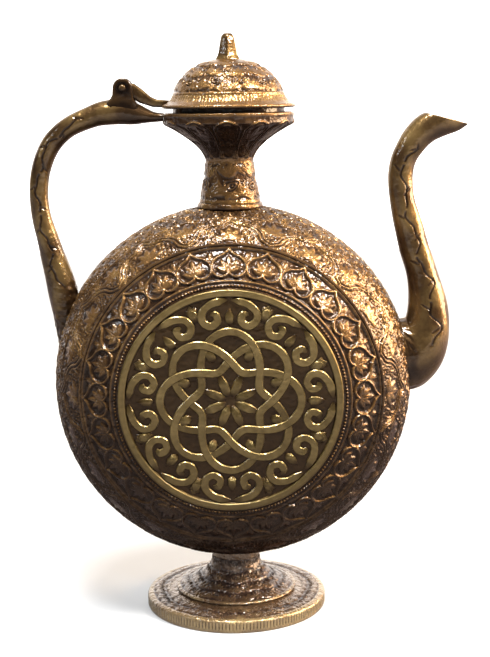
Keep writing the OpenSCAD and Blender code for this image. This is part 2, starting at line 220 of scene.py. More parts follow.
print("brightness of a crease and of a top:", worn(np.array([0.14, 1.0]), 0.3, 0.7).round(2))

# %% [markdown]
# Most of the jug is turned: an outline spun about an axis. A lathe modifier could do it, but the spin operator
# also carries a number along with each point. One wedge is spun and then copied round, which is far quicker
# than spinning the whole ring in fine steps. The number is called "along": it is the distance from the
# outline's start, so that a pattern can follow the surface. Points of the hidden inside carry -1 and are left
# alone.

# %% Turn an outline into a ring
ON_AXIS = 1e-4
WELD = 1e-3


def arc(x, z, half_x, half_z, degrees):
    """Places on an arc round a middle, which may be flattened."""
    return [(x + half_x * math.cos(math.radians(a)), z + half_z * math.sin(math.radians(a))) for a in degrees]


def resampled(outline, spacing):
    """Points at an even spacing along an outline of (radius, height)."""
    p = np.array(outline, float)
    run = np.concatenate([[0], np.cumsum(np.hypot(*np.diff(p, axis=0).T))])
    at = np.linspace(0, run[-1], max(2, int(round(run[-1] / spacing)) + 1))
    return np.column_stack([np.interp(at, run, p[:, 0]), np.interp(at, run, p[:, 1])]), at


def spun(face, spacing, back, steps, wedges):
    """Spins a closed outline about Z: the face is resampled finely, the back keeps its own points."""
    points, run = resampled(face, spacing)
    bm = bmesh.new()
    layer = bm.verts.layers.float.new("along")
    ring = []
    for (radius, height), along in zip(points, run):
        ring.append(bm.verts.new((max(radius, 0), 0, height)))
        ring[-1][layer] = along
    for radius, height in back:
        ring.append(bm.verts.new((max(radius, 0), 0, height)))
        ring[-1][layer] = -1
    edges = [bm.edges.new((a, b)) for a, b in zip(ring, ring[1:] + ring[:1]) if max(a.co.x, b.co.x) >= ON_AXIS]
    wedge = 2 * math.pi / wedges
    bmesh.ops.spin(bm, geom=ring + edges, cent=(0, 0, 0), axis=(0, 0, 1), angle=wedge,
                   steps=steps // wedges, use_merge=False)
    middle = [v for v in bm.verts if math.hypot(v.co.x, v.co.y) < ON_AXIS]
    bmesh.ops.remove_doubles(bm, verts=middle, dist=WELD)
    bmesh.ops.spin(bm, geom=bm.verts[:] + bm.edges[:] + bm.faces[:], cent=(0, 0, 0), axis=(0, 0, 1),
                   angle=2 * math.pi - wedge, steps=wedges - 1, use_duplicate=True)
    bmesh.ops.remove_doubles(bm, verts=bm.verts, dist=WELD)
    bmesh.ops.recalc_face_normals(bm, faces=bm.faces)
    return bm


print("an outline of 5 mm has", len(resampled([(0, 0), (5, 0)], 0.5)[0]), "points at every half millimetre")

# %% [markdown]
# Relief could be a bump in the finish, but that would exist only in the picture. Here each point really moves
# along its normal by the pattern's height. How far a place is rubbed is kept as the "relief" attribute,
# because the patina on the real metal lies in the hollows and is worn off the tops.

# %% Press relief into a mesh
BARE = 0.5


def plain_mesh(bm, name):
    """A mesh from a bmesh, as it is."""
    mesh = bpy.data.meshes.new(name)
    bm.to_mesh(mesh)
    bm.free()
    return mesh


def mesh_arrays(mesh):
    """Places (co) and normals (no) of a mesh's points."""
    co = np.empty(len(mesh.vertices) * 3, np.float32)
    no = np.empty(len(mesh.vertices) * 3, np.float32)
    mesh.vertices.foreach_get("co", co)
    mesh.vertex_normals.foreach_get("vector", no)
    return co.reshape(-1, 3).astype(float), no.reshape(-1, 3).astype(float)


def keep(mesh, name, values):
    """Stores one number for each point of a mesh."""
    layer = mesh.attributes.get(name) or mesh.attributes.new(name, "FLOAT", "POINT")
    layer.data.foreach_set("value", np.asarray(values, np.float32))


def worked(bm, name, pattern=None):
    """A mesh from a bmesh, with the pattern's relief pressed into its face."""
    mesh = plain_mesh(bm, name)
    co, no = mesh_arrays(mesh)
    rub = np.full(len(co), BARE)
    if pattern:
        along = np.empty(len(co), np.float32)
        mesh.attributes["along"].data.foreach_get("value", along)
        face = along >= 0
        radius = np.hypot(co[face, 0], co[face, 1])
        height, brightened = pattern(along[face].astype(float), np.arctan2(co[face, 1], co[face, 0]), radius)
        co[face] += no[face] * height[:, None]
        rub[face] = brightened
        mesh.vertices.foreach_set("co", co.astype(np.float32).ravel())
    keep(mesh, "relief", np.clip(rub, 0, 1))
    return mesh


print("metal without a pattern is rubbed to", BARE)

# %% [markdown]
# A finished piece is a mesh in metres, in its place, that rides on one body of the frame and stands in for
# a designed part. Its place goes into the mesh and not into the object, so that a grain on object coordinates
# stays where it is. A mirrored placing turns the faces inside out, so they are flipped back.

# %% Finish a piece
pieces_made = {}


def finished(mesh, name, body, nodes, material, placing=Matrix(), crease=60):
    """Puts a piece in its place in metres and joins it to the frame."""
    mesh.transform(Matrix.Scale(MM, 4) @ placing)
    if placing.determinant() < 0:
        mesh.flip_normals()
    mesh.polygons.foreach_set("use_smooth", [True] * len(mesh.polygons))
    mesh.set_sharp_from_angle(angle=math.radians(crease))
    mesh.materials.clear()
    mesh.materials.append(material)
    piece = bpy.data.objects.new(name, mesh)
    bpy.context.collection.objects.link(piece)
    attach(piece, body)
    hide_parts(*nodes)
    pieces_made[name] = sum(len(p.vertices) - 2 for p in mesh.polygons)
    print(name, pieces_made[name], "triangles")


print("one millimetre is", MM, "m")

# %% [markdown]
# Some castings have holes and slots: where the neck and the spout enter the body, and between the hinge ears.
# A hole is cut with a plain rod or box by the Boolean modifier, whose result is kept as a mesh at once. The
# manifold solver is quick and leaves closed meshes closed.

# %% Cut and join
def applied(mesh, kind, **settings):
    """Runs one modifier on a mesh and returns the result."""
    holder = bpy.data.objects.new("holder", mesh)
    bpy.context.collection.objects.link(holder)
    modifier = holder.modifiers.new(kind, kind)
    for key, value in settings.items():
        setattr(modifier, key, value)
    result = bpy.data.meshes.new_from_object(holder.evaluated_get(bpy.context.evaluated_depsgraph_get()))
    bpy.data.objects.remove(holder)
    return result


def joined(mesh, other, operation):
    """Adds or cuts one closed mesh with another."""
    tool = bpy.data.objects.new("tool", other)
    bpy.context.collection.objects.link(tool)
    result = applied(mesh, "BOOLEAN", operation=operation, solver="MANIFOLD", object=tool)
    bpy.data.objects.remove(tool)
    return result


def rod(radius, start, end, sides=64):
    """A plain rod between two places, to cut with."""
    bm = bmesh.new()
    a, b = Vector(start), Vector(end)
    turn = (b - a).to_track_quat("Z", "Y").to_matrix().to_4x4()
    bmesh.ops.create_cone(bm, cap_ends=True, segments=sides, radius1=radius, radius2=radius,
                          depth=(b - a).length, matrix=Matrix.Translation((a + b) / 2) @ turn)
    return plain_mesh(bm, "rod")


sample = rod(1, (0, 0, 0), (0, 0, 1))
print("a rod to cut with has", len(sample.polygons), "faces")
bpy.data.meshes.remove(sample)

# %% [markdown]
# The finish is one family: brass that has been browned, then rubbed bright on its high points and lacquered.
# It could be one flat metal, but then the relief would hardly show. A few small helpers keep its nodes short:
# one adds a node, one maps a number on to another range, and one adds or multiplies two numbers.

# %% Small helpers for materials
def added(tree, kind, **inputs):
    """Adds a node and sets its inputs; an underscore stands for a space in an input's name."""
    node = tree.nodes.new("ShaderNode" + kind)
    for name, value in inputs.items():
        node.inputs[name.replace("_", " ")].default_value = value
    return node


def ranged(tree, source, start, end, low, high):
    """Maps a number that runs from start to end, so that it runs from low to high."""
    node = added(tree, "MapRange", From_Min=start, From_Max=end, To_Min=low, To_Max=high)
    tree.links.new(source, node.inputs["Value"])
    return node


def arithmetic(tree, operation, first, second):
    """Adds or multiplies a number with a second one, which is a number or another node's output."""
    node = added(tree, "Math")
    node.operation = operation
    tree.links.new(first, node.inputs[0])
    if isinstance(second, float):
        node.inputs[1].default_value = second
    else:
        tree.links.new(second, node.inputs[1])
    return node


print("helpers:", [helper.__name__ for helper in (added, ranged, arithmetic)])

# %% [markdown]
# The tone of a place is its "relief" plus a cloudy noise, and a ramp turns it into a colour, from near-black
# brown to golden brown. Metal that faces down, or is low on the jug, gets painted shade: a second number, from
# the normal and the height, fades the colour there towards a near-black brown and thins the coat.

# %% Tone, patina, painted shade and grain
# The near-black colour of the painted shade on undersides and low parts.
PAINTED_SHADE_COLOUR = (0.009, 0.0055, 0.005, 1)
COARSE_GRAIN, FINE_GRAIN = (380, 0.0009), (1500, 0.00025)


def cloudy_tone(tree, place, mottle):
    """The relief attribute, broken up by clouds."""
    relief = added(tree, "Attribute")
    relief.attribute_name = "relief"
    clouds = added(tree, "TexNoise", Scale=70, Detail=5, Roughness=0.62)
    tree.links.new(place.outputs["Object"], clouds.inputs["Vector"])
    mottling = ranged(tree, clouds.outputs["Fac"], 0.3, 0.7, -mottle, mottle)
    tone = arithmetic(tree, "ADD", relief.outputs["Fac"], mottling.outputs["Result"])
    tone.use_clamp = True
    return tone


def painted_underside_shade(tree, place, kept_in_painted_shade):
    """Painted shade: 1 high up and facing up, falling to the kept share low down and facing down."""
    facing, standing = added(tree, "SeparateXYZ"), added(tree, "SeparateXYZ")
    tree.links.new(place.outputs["Normal"], facing.inputs["Vector"])
    tree.links.new(place.outputs["Object"], standing.inputs["Vector"])
    lift = ranged(tree, standing.outputs["Z"], 0.05, 0.21, -0.20, 0.30)
    turned_up = arithmetic(tree, "ADD", facing.outputs["Z"], lift.outputs["Result"])
    brightened = ranged(tree, turned_up.outputs["Value"], -0.30, 0.70, kept_in_painted_shade, 1)
    brightened.interpolation_type = "SMOOTHSTEP"
    return brightened


def patina_with_painted_shade(tree, tone, brightened, stops):
    """The ramp's colour at a tone, faded towards painted shade low down and where the metal faces down."""
    ramp = added(tree, "ValToRGB")
    while len(ramp.color_ramp.elements) < len(stops):
        ramp.color_ramp.elements.new(0.5)
    for element, (at, colour) in zip(ramp.color_ramp.elements, stops):
        element.position = at
        element.color = (*colour, 1)
    tree.links.new(tone.outputs["Value"], ramp.inputs["Fac"])
    mix = added(tree, "Mix")
    mix.data_type = "RGBA"
    factor, first, second, result = mix.inputs[0], mix.inputs[6], mix.inputs[7], mix.outputs[2]
    first.default_value = PAINTED_SHADE_COLOUR
    tree.links.new(brightened.outputs["Result"], factor)
    tree.links.new(ramp.outputs["Color"], second)
    return result


print("coarse grain", round(COARSE_GRAIN[1] / MM, 2), "mm deep, fine grain", round(FINE_GRAIN[1] / MM, 2), "mm")

# %% [markdown]
# The metal itself is Blender's principled shader with a coat over it, which gives the white sparkle on every
# small edge. The coat could share the metal's normal, but with the fine grain in it, it turns into a pale
# veil. So it follows only the coarser grain.

# %% Brass with a brown patina
def brass(name, stops, roughness, mottle, grain, coat, kept_in_painted_shade, metal):
    """A patinated brass: colour and roughness follow the relief and a cloudy mottling; painted shade darkens it
    low down.
    """
    mat = bpy.data.materials.new(name)
    mat.use_nodes = True
    tree = mat.node_tree
    link = tree.links.new
    shader = tree.nodes["Principled BSDF"]
    for socket, value in (("Metallic", metal), ("Specular IOR Level", 0.25), ("Coat Roughness", 0.05),
                          ("Coat IOR", 1.6), ("Specular Tint", (0.5, 0.38, 0.26, 1))):
        shader.inputs[socket].default_value = value
    place = added(tree, "TexCoord")
    tone = cloudy_tone(tree, place, mottle)
    # Painted shade: colour and coat fade low down and where the metal faces down.
    brightened = painted_underside_shade(tree, place, kept_in_painted_shade)
    lacquer = arithmetic(tree, "MULTIPLY", brightened.outputs["Result"], float(coat))
    gloss = ranged(tree, tone.outputs["Value"], 0, 1, *roughness)
    link(patina_with_painted_shade(tree, tone, brightened, stops), shader.inputs["Base Color"])
    link(gloss.outputs["Result"], shader.inputs["Roughness"])
    link(lacquer.outputs["Value"], shader.inputs["Coat Weight"])
    bumps = []
    for scale, distance in (COARSE_GRAIN, FINE_GRAIN):
        lumps = added(tree, "TexNoise", Scale=scale, Detail=2)
        link(place.outputs["Object"], lumps.inputs["Vector"])
        bumps.append(added(tree, "Bump", Strength=grain, Distance=distance))
        link(lumps.outputs["Fac"], bumps[-1].inputs["Height"])
    coarse, fine = bumps
    link(coarse.outputs["Normal"], fine.inputs["Normal"])
    link(coarse.outputs["Normal"], shader.inputs["Coat Normal"])
    link(fine.outputs["Normal"], shader.inputs["Normal"])
    return mat


# This is the colour of the painted shade.
print("soot is", PAINTED_SHADE_COLOUR[:3])

# %% [markdown]
# Four members of the family differ in their ramp and gloss. The ornamented castings have the darkest hollows
# and the most sparkle. The medallions are olive-gold, with little lacquer. The plain castings, which are the
# handle, the spout and the lid's small parts, have a finer grain and a softer gloss. The foot stands in the
# light of its own lamp and gets less of the painted shade low down.

# %% The four finishes
ornament_brass = brass(
    "ornament_brass",
    [(0.0, (0.014, 0.007, 0.004)), (0.3, (0.072, 0.035, 0.015)), (0.6, (0.25, 0.130, 0.044)),
     (1.0, (0.60, 0.38, 0.145))],
    roughness=(0.36, 0.22), mottle=0.14, grain=0.7, coat=0.65, kept_in_painted_shade=0.03, metal=0.6)
medallion_brass = brass(
    "medallion_brass",
    [(0.0, (0.026, 0.015, 0.008)), (0.35, (0.092, 0.053, 0.020)), (0.7, (0.23, 0.158, 0.058)),
     (1.0, (0.42, 0.30, 0.12))],
    roughness=(0.42, 0.32), mottle=0.10, grain=0.3, coat=0.25, kept_in_painted_shade=0.12, metal=0.85)
plain_brass = brass(
    "plain_brass",
    [(0.0, (0.016, 0.008, 0.004)), (0.35, (0.085, 0.045, 0.017)), (0.65, (0.28, 0.175, 0.064)),
     (1.0, (0.55, 0.39, 0.16))],
    roughness=(0.40, 0.28), mottle=0.16, grain=0.4, coat=0.65, kept_in_painted_shade=0.12, metal=0.7)
foot_brass = brass(
    "foot_brass",
    [(0.0, (0.016, 0.009, 0.008)), (0.3, (0.056, 0.031, 0.021)), (0.6, (0.17, 0.100, 0.052)),
     (1.0, (0.46, 0.325, 0.15))],
    roughness=(0.34, 0.20), mottle=0.14, grain=1.0, coat=1.0, kept_in_painted_shade=0.42, metal=0.6)
print("finishes:", [m.name for m in (ornament_brass, medallion_brass, plain_brass, foot_brass)])

# %% [markdown]
# The body is two deep dishes joined at the rim, each a flat-sided round. Its side could be a circle's arc or an
# ellipse, but the real one is fuller at the rim, so a slightly squarish ellipse is used. FULLNESS is its
# exponent: 2 would be a plain ellipse.

# %% The body's side curve
FULLNESS = 2.15
lip_r = medal_r + 1.5
side_half = lip_y / (1 - (lip_r / body_r) ** FULLNESS) ** (1 / FULLNESS)


def side_point(radius, inset=0.0):
    """Distance from the seam of the side curve, at a radius."""
    share = min(1, radius / (body_r - inset))
    return (side_half - inset) * (1 - share ** FULLNESS) ** (1 / FULLNESS)


def side_curve(r_start, r_end, count, inset=0.0):
    """The side curve between two radii, as (radius, distance from the seam)."""
    full = body_r - inset
    a, b = (math.asin(min(1, (r / full) ** (FULLNESS / 2))) for r in (r_start, r_end))
    out = []
    for k in range(count + 1):
        t = a + (b - a) * k / count
        out.append((full * math.sin(t) ** (2 / FULLNESS),
                    (side_half - inset) * max(0, math.cos(t)) ** (2 / FULLNESS)))
    return out


print(f"the side bulges {side_half:.1f} mm from the seam in its middle")

# %% [markdown]
# The ornament lies in rings. The inner ones are a row of beads next to the medallion, a plain ridge, a chain
# of twenty-four linked hearts with a palmette in each, and a double ridge. One half of a heart's outline is
# drawn as a smooth line, mirrored, and repeated round the ring by folding the angle into equal cells.

# %% The inner rings: beads, hearts and ridges
HEARTS = 24
BEADS = 216
BEAD_HALF, RIDGE_HALF, DOUBLE_HALF, OUTLINE_HALF = 0.78, 0.8, 0.62, 0.88
DOUBLE_GAP = 1.6
SUNK = -0.50
bead_at = lip_r + 0.3
ridge_at = lip_r + 2.5
heart_in, heart_out = lip_r + 3.9, lip_r + 16.2
double_at = lip_r + 17.4
band_end = lip_r + 19.6
heart_middle = (heart_in + heart_out) / 2
heart_line = smooth_line([
    (0, -4.0), (1.3, -5.5), (4.0, -6.2), (6.9, -4.9), (8.5, -1.9), (8.0, 1.3), (5.6, 3.7), (2.5, 5.2), (0, 7.4)])


def heart_band(along, angle, radius):
    """Beads, ridge, hearts and double ridge: height in millimetres and how far it is rubbed bright."""
    across = folded(angle, BEADS) * radius
    bead = np.sqrt(ridge(np.hypot(across, (radius - bead_at) * 1.25), BEAD_HALF))
    single = ridge(radius - ridge_at, RIDGE_HALF)
    first = ridge(radius - double_at, DOUBLE_HALF)
    second = ridge(radius - double_at - DOUBLE_GAP, DOUBLE_HALF)

    a = folded(angle - math.pi / 2, HEARTS)
    x = a * radius * (heart_middle / radius) ** 0.35
    y = (radius - heart_middle) * 1.12
    heart = ridge(line_distance(np.abs(x), y, heart_line), OUTLINE_HALF)
    inside = fan(x, y + 3.7, 8.6, 5, 33)
    bud = ridge(np.hypot(x, y + 3.4), 1.2)
    beside_heart = math.pi / HEARTS * heart_middle - np.abs(x)
    sprigs = np.maximum(fan(beside_heart, y - 1.6, 5.6, 3, 44), fan(beside_heart, -y - 3.6, 3.2, 3, 50) * 0.8)
    link = ridge(np.hypot(beside_heart, (y + 0.8) * 0.6), 1.0)
    zone = span(radius, heart_in - 0.6, heart_out + 0.9, 0.5)
    hearts = zone * np.maximum.reduce([heart, inside * 0.92, bud * 0.8, sprigs * 0.85, link * 0.8])
    ground = span(radius, ridge_at, double_at - 0.6, 1.2, 1.0)

    top = np.maximum.reduce([bead * 0.85, single, first, second, hearts])
    wave = wavy(along, angle, radius)
    height = SUNK + 1.05 * top - 0.22 * ground * (1 - hearts) + 0.05 * wave
    flush = span(along, 0.5, band_length - 0.4, 1.0, 0.8)
    return height * flush, worn(top, 0.26, 0.62) + 0.08 * wave


print(f"hearts from {heart_in:.1f} to {heart_out:.1f} mm, double ridge at {double_at:.1f} mm")

# %% [markdown]
# Out to the seam the real jug has pointed arches with a palmette under each and a sprig between two, and then
# scrolls all over. One size of scroll would do, but finer ones among the arches look more like hand work. They
# are left out wherever an arch, palmette or sprig stands, so that the figures read clearly against them.

# %% The outer ring: arches and scrolls
SCROLL = 6.4
SCROLLS_ROUND = 80
ARCHES = HEARTS // 2
ARCH_HALF, ARCHES_END, BORDER_AT, FINE_END = 18.5, 19.5, 19.0, 18.0
arch_line = smooth_line([(0, 16.5), (3.4, 13.2), (8.6, 11.6), (12.5, 8.2), (14.6, 3.6), (ARCH_HALF, 1.0)])


def scroll_band(along, angle, radius):
    """Pointed arches with palmettes near the double ridge, then a ground of scrolls out to the seam."""
    a = folded(angle - math.pi / 2, ARCHES)
    x = a * radius
    half_cell = math.pi / ARCHES * radius
    far = line_distance(np.abs(x) * (ARCH_HALF / half_cell), along, arch_line)
    arch = np.maximum(ridge(far, 0.75), ridge(far - 1.7, 0.5) * 0.8)
    palm = fan(x, along - 2.0, 10.0, 5, 33)
    beside_arch = half_cell - np.abs(x)
    sprig = fan(beside_arch, along - 8.5, 9.5, 5, 30)
    u = angle * SCROLLS_ROUND * SCROLL / (2 * math.pi)
    ground = scrolls(u, along, SCROLL, 0)
    fine = scrolls(u * 1.5, along * 1.5, SCROLL, 1)
    clear = np.maximum.reduce([ridge(far, 2.2), ridge(np.hypot(x, along - 7), 7.5),
                               ridge(np.hypot(beside_arch, along - 13.5), 6.5)])
    filled = np.where(along < FINE_END, fine, ground)
    top = np.maximum.reduce([arch, palm * 0.95, sprig * 0.95, filled * (1 - step(clear, 0.25, 0.3)) * 0.85])
    top = np.where(along > ARCHES_END, filled * 0.9, top)
    top = np.maximum(top, ridge(along - BORDER_AT, 0.6) * 0.9)
    wave = wavy(along, angle, radius)
    height = SUNK + 0.98 * top + 0.06 * wave
    flush = span(along, 0.3, scroll_length - 0.3, 0.6)
    return height * flush, worn(top, 0.32, 0.68) + 0.10 * wave


print(ARCHES, "arches and", SCROLLS_ROUND, "scrolls round the body")

# %% [markdown]
# Each side of the body becomes two turned rings, split at the double ridge, so that no mesh grows too large.
# Their outlines go out along the face, where the relief is, and back along the inside of the wall. The inner
# ring also has the ledge that the medallion lies on.

# %% Outlines of the body's rings
WALL = 2.0
BODY_STEPS, WEDGES = 960, 24
inner_ledge = medal_r - 5
heart_face = [(medal_r + 0.1, lip_y)] + side_curve(lip_r, band_end, 30)
heart_back = list(reversed(side_curve(inner_ledge + 7, band_end, 5, WALL))) + [
    (inner_ledge, side_point(inner_ledge + 7, WALL)), (inner_ledge, seat_y), (medal_r + 0.1, seat_y)]
scroll_face = side_curve(band_end, body_r, 40)
scroll_back = list(reversed(side_curve(band_end, body_r - WALL, 7, WALL)))
band_length = resampled(heart_face, 1)[1][-1]
scroll_length = resampled(scroll_face, 1)[1][-1]
print(f"inner rings {band_length:.1f} mm wide, outer ring {scroll_length:.1f} mm wide")

# %% [markdown]
# The rings are turned lying down and then stood up to face the front. The outer ring gets half of the neck's
# hole and half of the spout's. The back is the same rings mirrored through the seam, not turned by half a
# turn, which would bring the spout's hole under the handle.

# %% Make both sides of the body
stood_up = Matrix.Rotation(math.radians(90), 4, "X")
facing_front = Matrix.Translation((0, 0, body_z)) @ stood_up
mirrored = Matrix.Diagonal((1, -1, 1, 1))
SPOUT_HOLE_R = 9.0
NECK_HOLE_R = 13.4
spout_root_z = body_z + 12.5


def with_holes(mesh):
    """Cuts the holes for the neck and the spout into a mesh that faces the front."""
    back_again = facing_front.inverted()
    for radius, start, end in ((NECK_HOLE_R, (0, 0, body_z + 60), (0, 0, body_z + 110)),
                               (SPOUT_HOLE_R, (60, 0, spout_root_z), (110, 0, spout_root_z))):
        cutter = rod(radius, start, end)
        cutter.transform(back_again)
        mesh = joined(mesh, cutter, "DIFFERENCE")
    return mesh


hearts_mesh = worked(spun(heart_face, 0.42, heart_back, BODY_STEPS, WEDGES), "hearts", heart_band)
scroll_mesh = with_holes(worked(spun(scroll_face, 0.52, scroll_back, BODY_STEPS, WEDGES), "scrolls", scroll_band))
for side, placing in (("front", facing_front), ("back", mirrored @ facing_front)):
    node = f"body_{side}_shell"
    finished(hearts_mesh.copy(), f"body_{side}_hearts", "jug", [node], ornament_brass, placing)
    finished(scroll_mesh.copy(), f"body_{side}_scrolls", "jug", [node], ornament_brass, placing)

# %% [markdown]
# Each medallion is a plate with a raised rim, on which flat-topped strokes of brass stand up from a darker
# ground. Strokes pressed into the plate would have soft sides, so the plate is turned by itself, and the
# strokes become a mesh of their own that is set into it.

# %% The medallion's plate
PLATE, RIM_W, RIM_H = 2.6, 3.6, 1.3


def plate_pattern(along, angle, radius):
    """Slightly uneven ground, bright on the rim."""
    rim = step(radius, medal_r - RIM_W, 0.5)
    height = 0.05 * unevenness(radius * np.cos(angle), radius * np.sin(angle))
    rub = 0.26 + 0.62 * rim + 0.05 * unevenness(radius * np.cos(angle) * 2, radius * np.sin(angle) * 2)
    return height * (1 - rim), rub


rim_in, rim_top = medal_r - RIM_W, PLATE + RIM_H
plate_face = [(0, PLATE), (rim_in - 0.3, PLATE), (rim_in, PLATE + 0.3), (rim_in, rim_top - 0.4),
              (rim_in + 0.4, rim_top), (medal_r - 0.5, rim_top), (medal_r, rim_top - 0.5)]
plate_mesh = worked(spun(plate_face, 0.5, [(medal_r, 0), (0, 0)], 360, 12), "plate", plate_pattern)
print(f"plate of {2 * medal_r:.0f} mm, rim {RIM_W} mm wide")

# %% [markdown]
# A stroke could be cut out of a sheet, but a curve with a profile is simpler: Blender carries the flat-topped
# profile along the curve and makes a solid strip of it. Each point of the curve has a radius, which widens and
# narrows the strip, so a leaf and an open vine only differ in how their radius changes along the way.

# %% Strokes with a flat top
stroke_profile = bpy.data.curves.new("stroke_profile", "CURVE")
outline = [(-0.5, -0.1), (0.5, -0.1), (0.47, 0.24), (0.37, 0.33), (-0.37, 0.33), (-0.47, 0.24)]
spline = stroke_profile.splines.new("POLY")
spline.points.add(len(outline) - 1)
for point, (across, up) in zip(spline.points, outline):
    point.co = (across, up, 0, 1)
spline.use_cyclic_u = True
profile_holder = bpy.data.objects.new("stroke_profile", stroke_profile)


def stroke_curve(strokes):
    """One curve object from strokes of ([(x, y)], width, ends, lift)."""
    curve = bpy.data.curves.new("strokes", "CURVE")
    curve.dimensions = "3D"
    curve.twist_mode = "Z_UP"
    curve.bevel_mode = "OBJECT"
    curve.bevel_object = profile_holder
    curve.use_fill_caps = True
    for points, width, ends, lift in strokes:
        line = curve.splines.new("POLY")
        line.points.add(len(points) - 1)
        for k, (point, (x, y, *rise)) in enumerate(zip(line.points, points)):
            share = k / (len(points) - 1)
            taper = {"closed": 1.0, "square": 1.0,
                     "open": min(1, 0.3 + 5 * share, 0.45 + 5 * (1 - share)),
                     "leaf": 0.1 + 0.9 * math.sin(math.pi * share) ** 0.8}[ends]
            by_hand = 1 + 0.05 * math.sin(0.35 * x + 0.45 * y)
            point.co = (x, y, PLATE + lift + sum(rise), 1)
            point.radius = width * taper * by_hand
        line.use_cyclic_u = ends == "closed"
    return curve


def around(points, paired, start):
    """Eight copies of a stroke round the centre, with their mirror images if paired."""
    out = []
    for k in range(8):
        a = start + 2 * math.pi * k / 8
        for flip in ((1, -1) if paired else (1,)):
            out.append([(flip * x * math.cos(a) - y * math.sin(a), flip * x * math.sin(a) + y * math.cos(a))
                        for x, y in points])
    return out


print("a stroke's profile has", len(outline), "corners")

# %% [markdown]
# The medallion's design is an interlaced knot that winds three times round the centre and passes over and
# under itself, with pairs of scrolling vines, leaves and small squares round it. The knot is one closed curve
# of sines and cosines. Everything else is drawn once and copied eight times round.

# %% Draw the medallion's design
KNOT_POINTS, KNOT_R, KNOT_SWING, KNOT_RISE = 900, 25.2, 9.6, 0.16
TURNS, WAVES = 3, 8
BETWEEN = math.pi / 8
knot = []
for k in range(KNOT_POINTS):
    t = 2 * TURNS * math.pi * k / KNOT_POINTS
    r = KNOT_R + KNOT_SWING * math.cos(WAVES * t / TURNS)
    knot.append((r * math.sin(t), r * math.cos(t), KNOT_RISE * math.sin(WAVES * t / TURNS)))
vine = smooth_line([(0.9, 50.4), (4.6, 49.6), (9.4, 47.9), (13.2, 44.0), (12.9, 39.6), (9.2, 37.4), (5.9, 39.6),
                    (6.6, 42.9), (9.3, 43.4)], 12)
side_leaf = smooth_line([(16.4, 47.0), (17.9, 43.0), (16.8, 38.2)], 5)
upper_leaf = [(0, 37.2), (0, 39.5), (0, 42.5), (0, 46.6)]
knot_leaf = [(0, 20.4), (0, 23), (0, 27), (0, 31.2)]
star_leaf = [(0, 1.6), (0, 5), (0, 10), (0, 16.6)]
strokes = [(knot, 4.3, "closed", -0.1)]
for line, paired, start, width, ends, lift in (
        (vine, True, 0, 4.1, "open", 0.0), (upper_leaf, False, 0, 5.0, "leaf", -0.30),
        (side_leaf, True, 0, 4.4, "leaf", -0.20), (knot_leaf, False, BETWEEN, 5.6, "leaf", -0.50),
        (star_leaf, False, BETWEEN, 5.4, "leaf", -0.45)):
    strokes += [(copy, width, ends, lift) for copy in around(line, paired, start)]
for at, aside in ((49.2, 0), (44.4, 2.9), (44.4, -2.9)):
    square = [(aside - 1.0, at - 1.0), (aside + 1.0, at + 1.0)]
    strokes += [(copy, 2.8, "square", -0.15) for copy in around(square, False, BETWEEN)]
print(len(strokes), "strokes on a medallion")

# %% Make the medallions
GROUND_RUB, STROKE_RUB, STROKE_H = 0.14, 0.58, 1.1
holder = bpy.data.objects.new("strokes", stroke_curve(strokes))
bpy.context.collection.objects.link(holder)
bpy.context.collection.objects.link(profile_holder)
vine_mesh = bpy.data.meshes.new_from_object(holder.evaluated_get(bpy.context.evaluated_depsgraph_get()))
bpy.data.objects.remove(holder)
bpy.data.objects.remove(profile_holder)
co = mesh_arrays(vine_mesh)[0]
patches = 0.07 * unevenness(co[:, 0] * 2.5, co[:, 1] * 2.5)
keep(vine_mesh, "relief", np.clip(GROUND_RUB + STROKE_RUB * (co[:, 2] - PLATE) / STROKE_H + patches, 0, 1))
print("strokes reach from", co.min(axis=0).round(2), "to", co.max(axis=0).round(2))
half_turn = Matrix.Rotation(math.pi, 4, "Z")
on_seat = Matrix.Translation((0, -seat_y, body_z)) @ stood_up
for side, placing in (("front", on_seat), ("back", half_turn @ on_seat)):
    node = f"{side}_medallion"
    finished(plate_mesh.copy(), f"{node}_plate", "jug", [node], medallion_brass, placing)
    finished(vine_mesh.copy(), f"{node}_vine", "jug", [node], medallion_brass, placing, 40)

# %% [markdown]
# The foot, the neck and the lid carry leaf relief, and fine reeds run round the foot's edge and the lid. Each
# could have a pattern of its own, but one pattern at several sizes keeps the hand of one maker. The leaves are
# set like bricks and shifted a little by slow waves, because the real ones were cut by hand and never line up.

# %% Patterns for foot, neck and lid
def foliage(u, v, pitch, angle):
    """Sprays of leaves between curling tendrils, set like bricks and a little uneven."""
    u = u + 0.10 * pitch * np.sin(5.3 * v / pitch + 1.7 * np.sin(3 * angle))
    v = v + 0.09 * pitch * np.sin(7 * angle)
    row = np.floor(v / pitch)
    b = v - (row + 0.5) * pitch
    a = u - 0.5 * pitch * (row % 2)
    a = a - np.round(a / pitch) * pitch
    spray = fan(a, b + 0.42 * pitch, 0.78 * pitch, 5, 27)
    c = 0.5 * pitch - np.abs(a)
    radius = np.hypot(c, b - 0.16 * pitch)
    curl = radius / (0.14 * pitch) - np.arctan2(b - 0.16 * pitch, c) / (2 * math.pi)
    tendril = (0.5 + 0.5 * np.cos(2 * math.pi * curl)) * (1 - step(radius, 0.30 * pitch, 0.1 * pitch))
    bud = fan(c, -b - 0.08 * pitch, 0.42 * pitch, 3, 40)
    return np.maximum.reduce([spray, tendril * 0.85, bud * 0.9])


def relief_band(along, angle, radius, start, end, count, depth, pitch, ground, high):
    """Leafy relief between two places along the outline, `count` times round."""
    u = angle * count / (2 * math.pi) * pitch
    zone = span(along, start, end, 0.8)
    top = foliage(u, along - start, pitch, angle)
    wave = wavy(along, angle, radius)
    height = zone * (-0.5 * depth + depth * top + 0.08 * wave)
    return height, np.where(zone > 0.5, worn(top, ground, high), 0.55) + 0.08 * wave


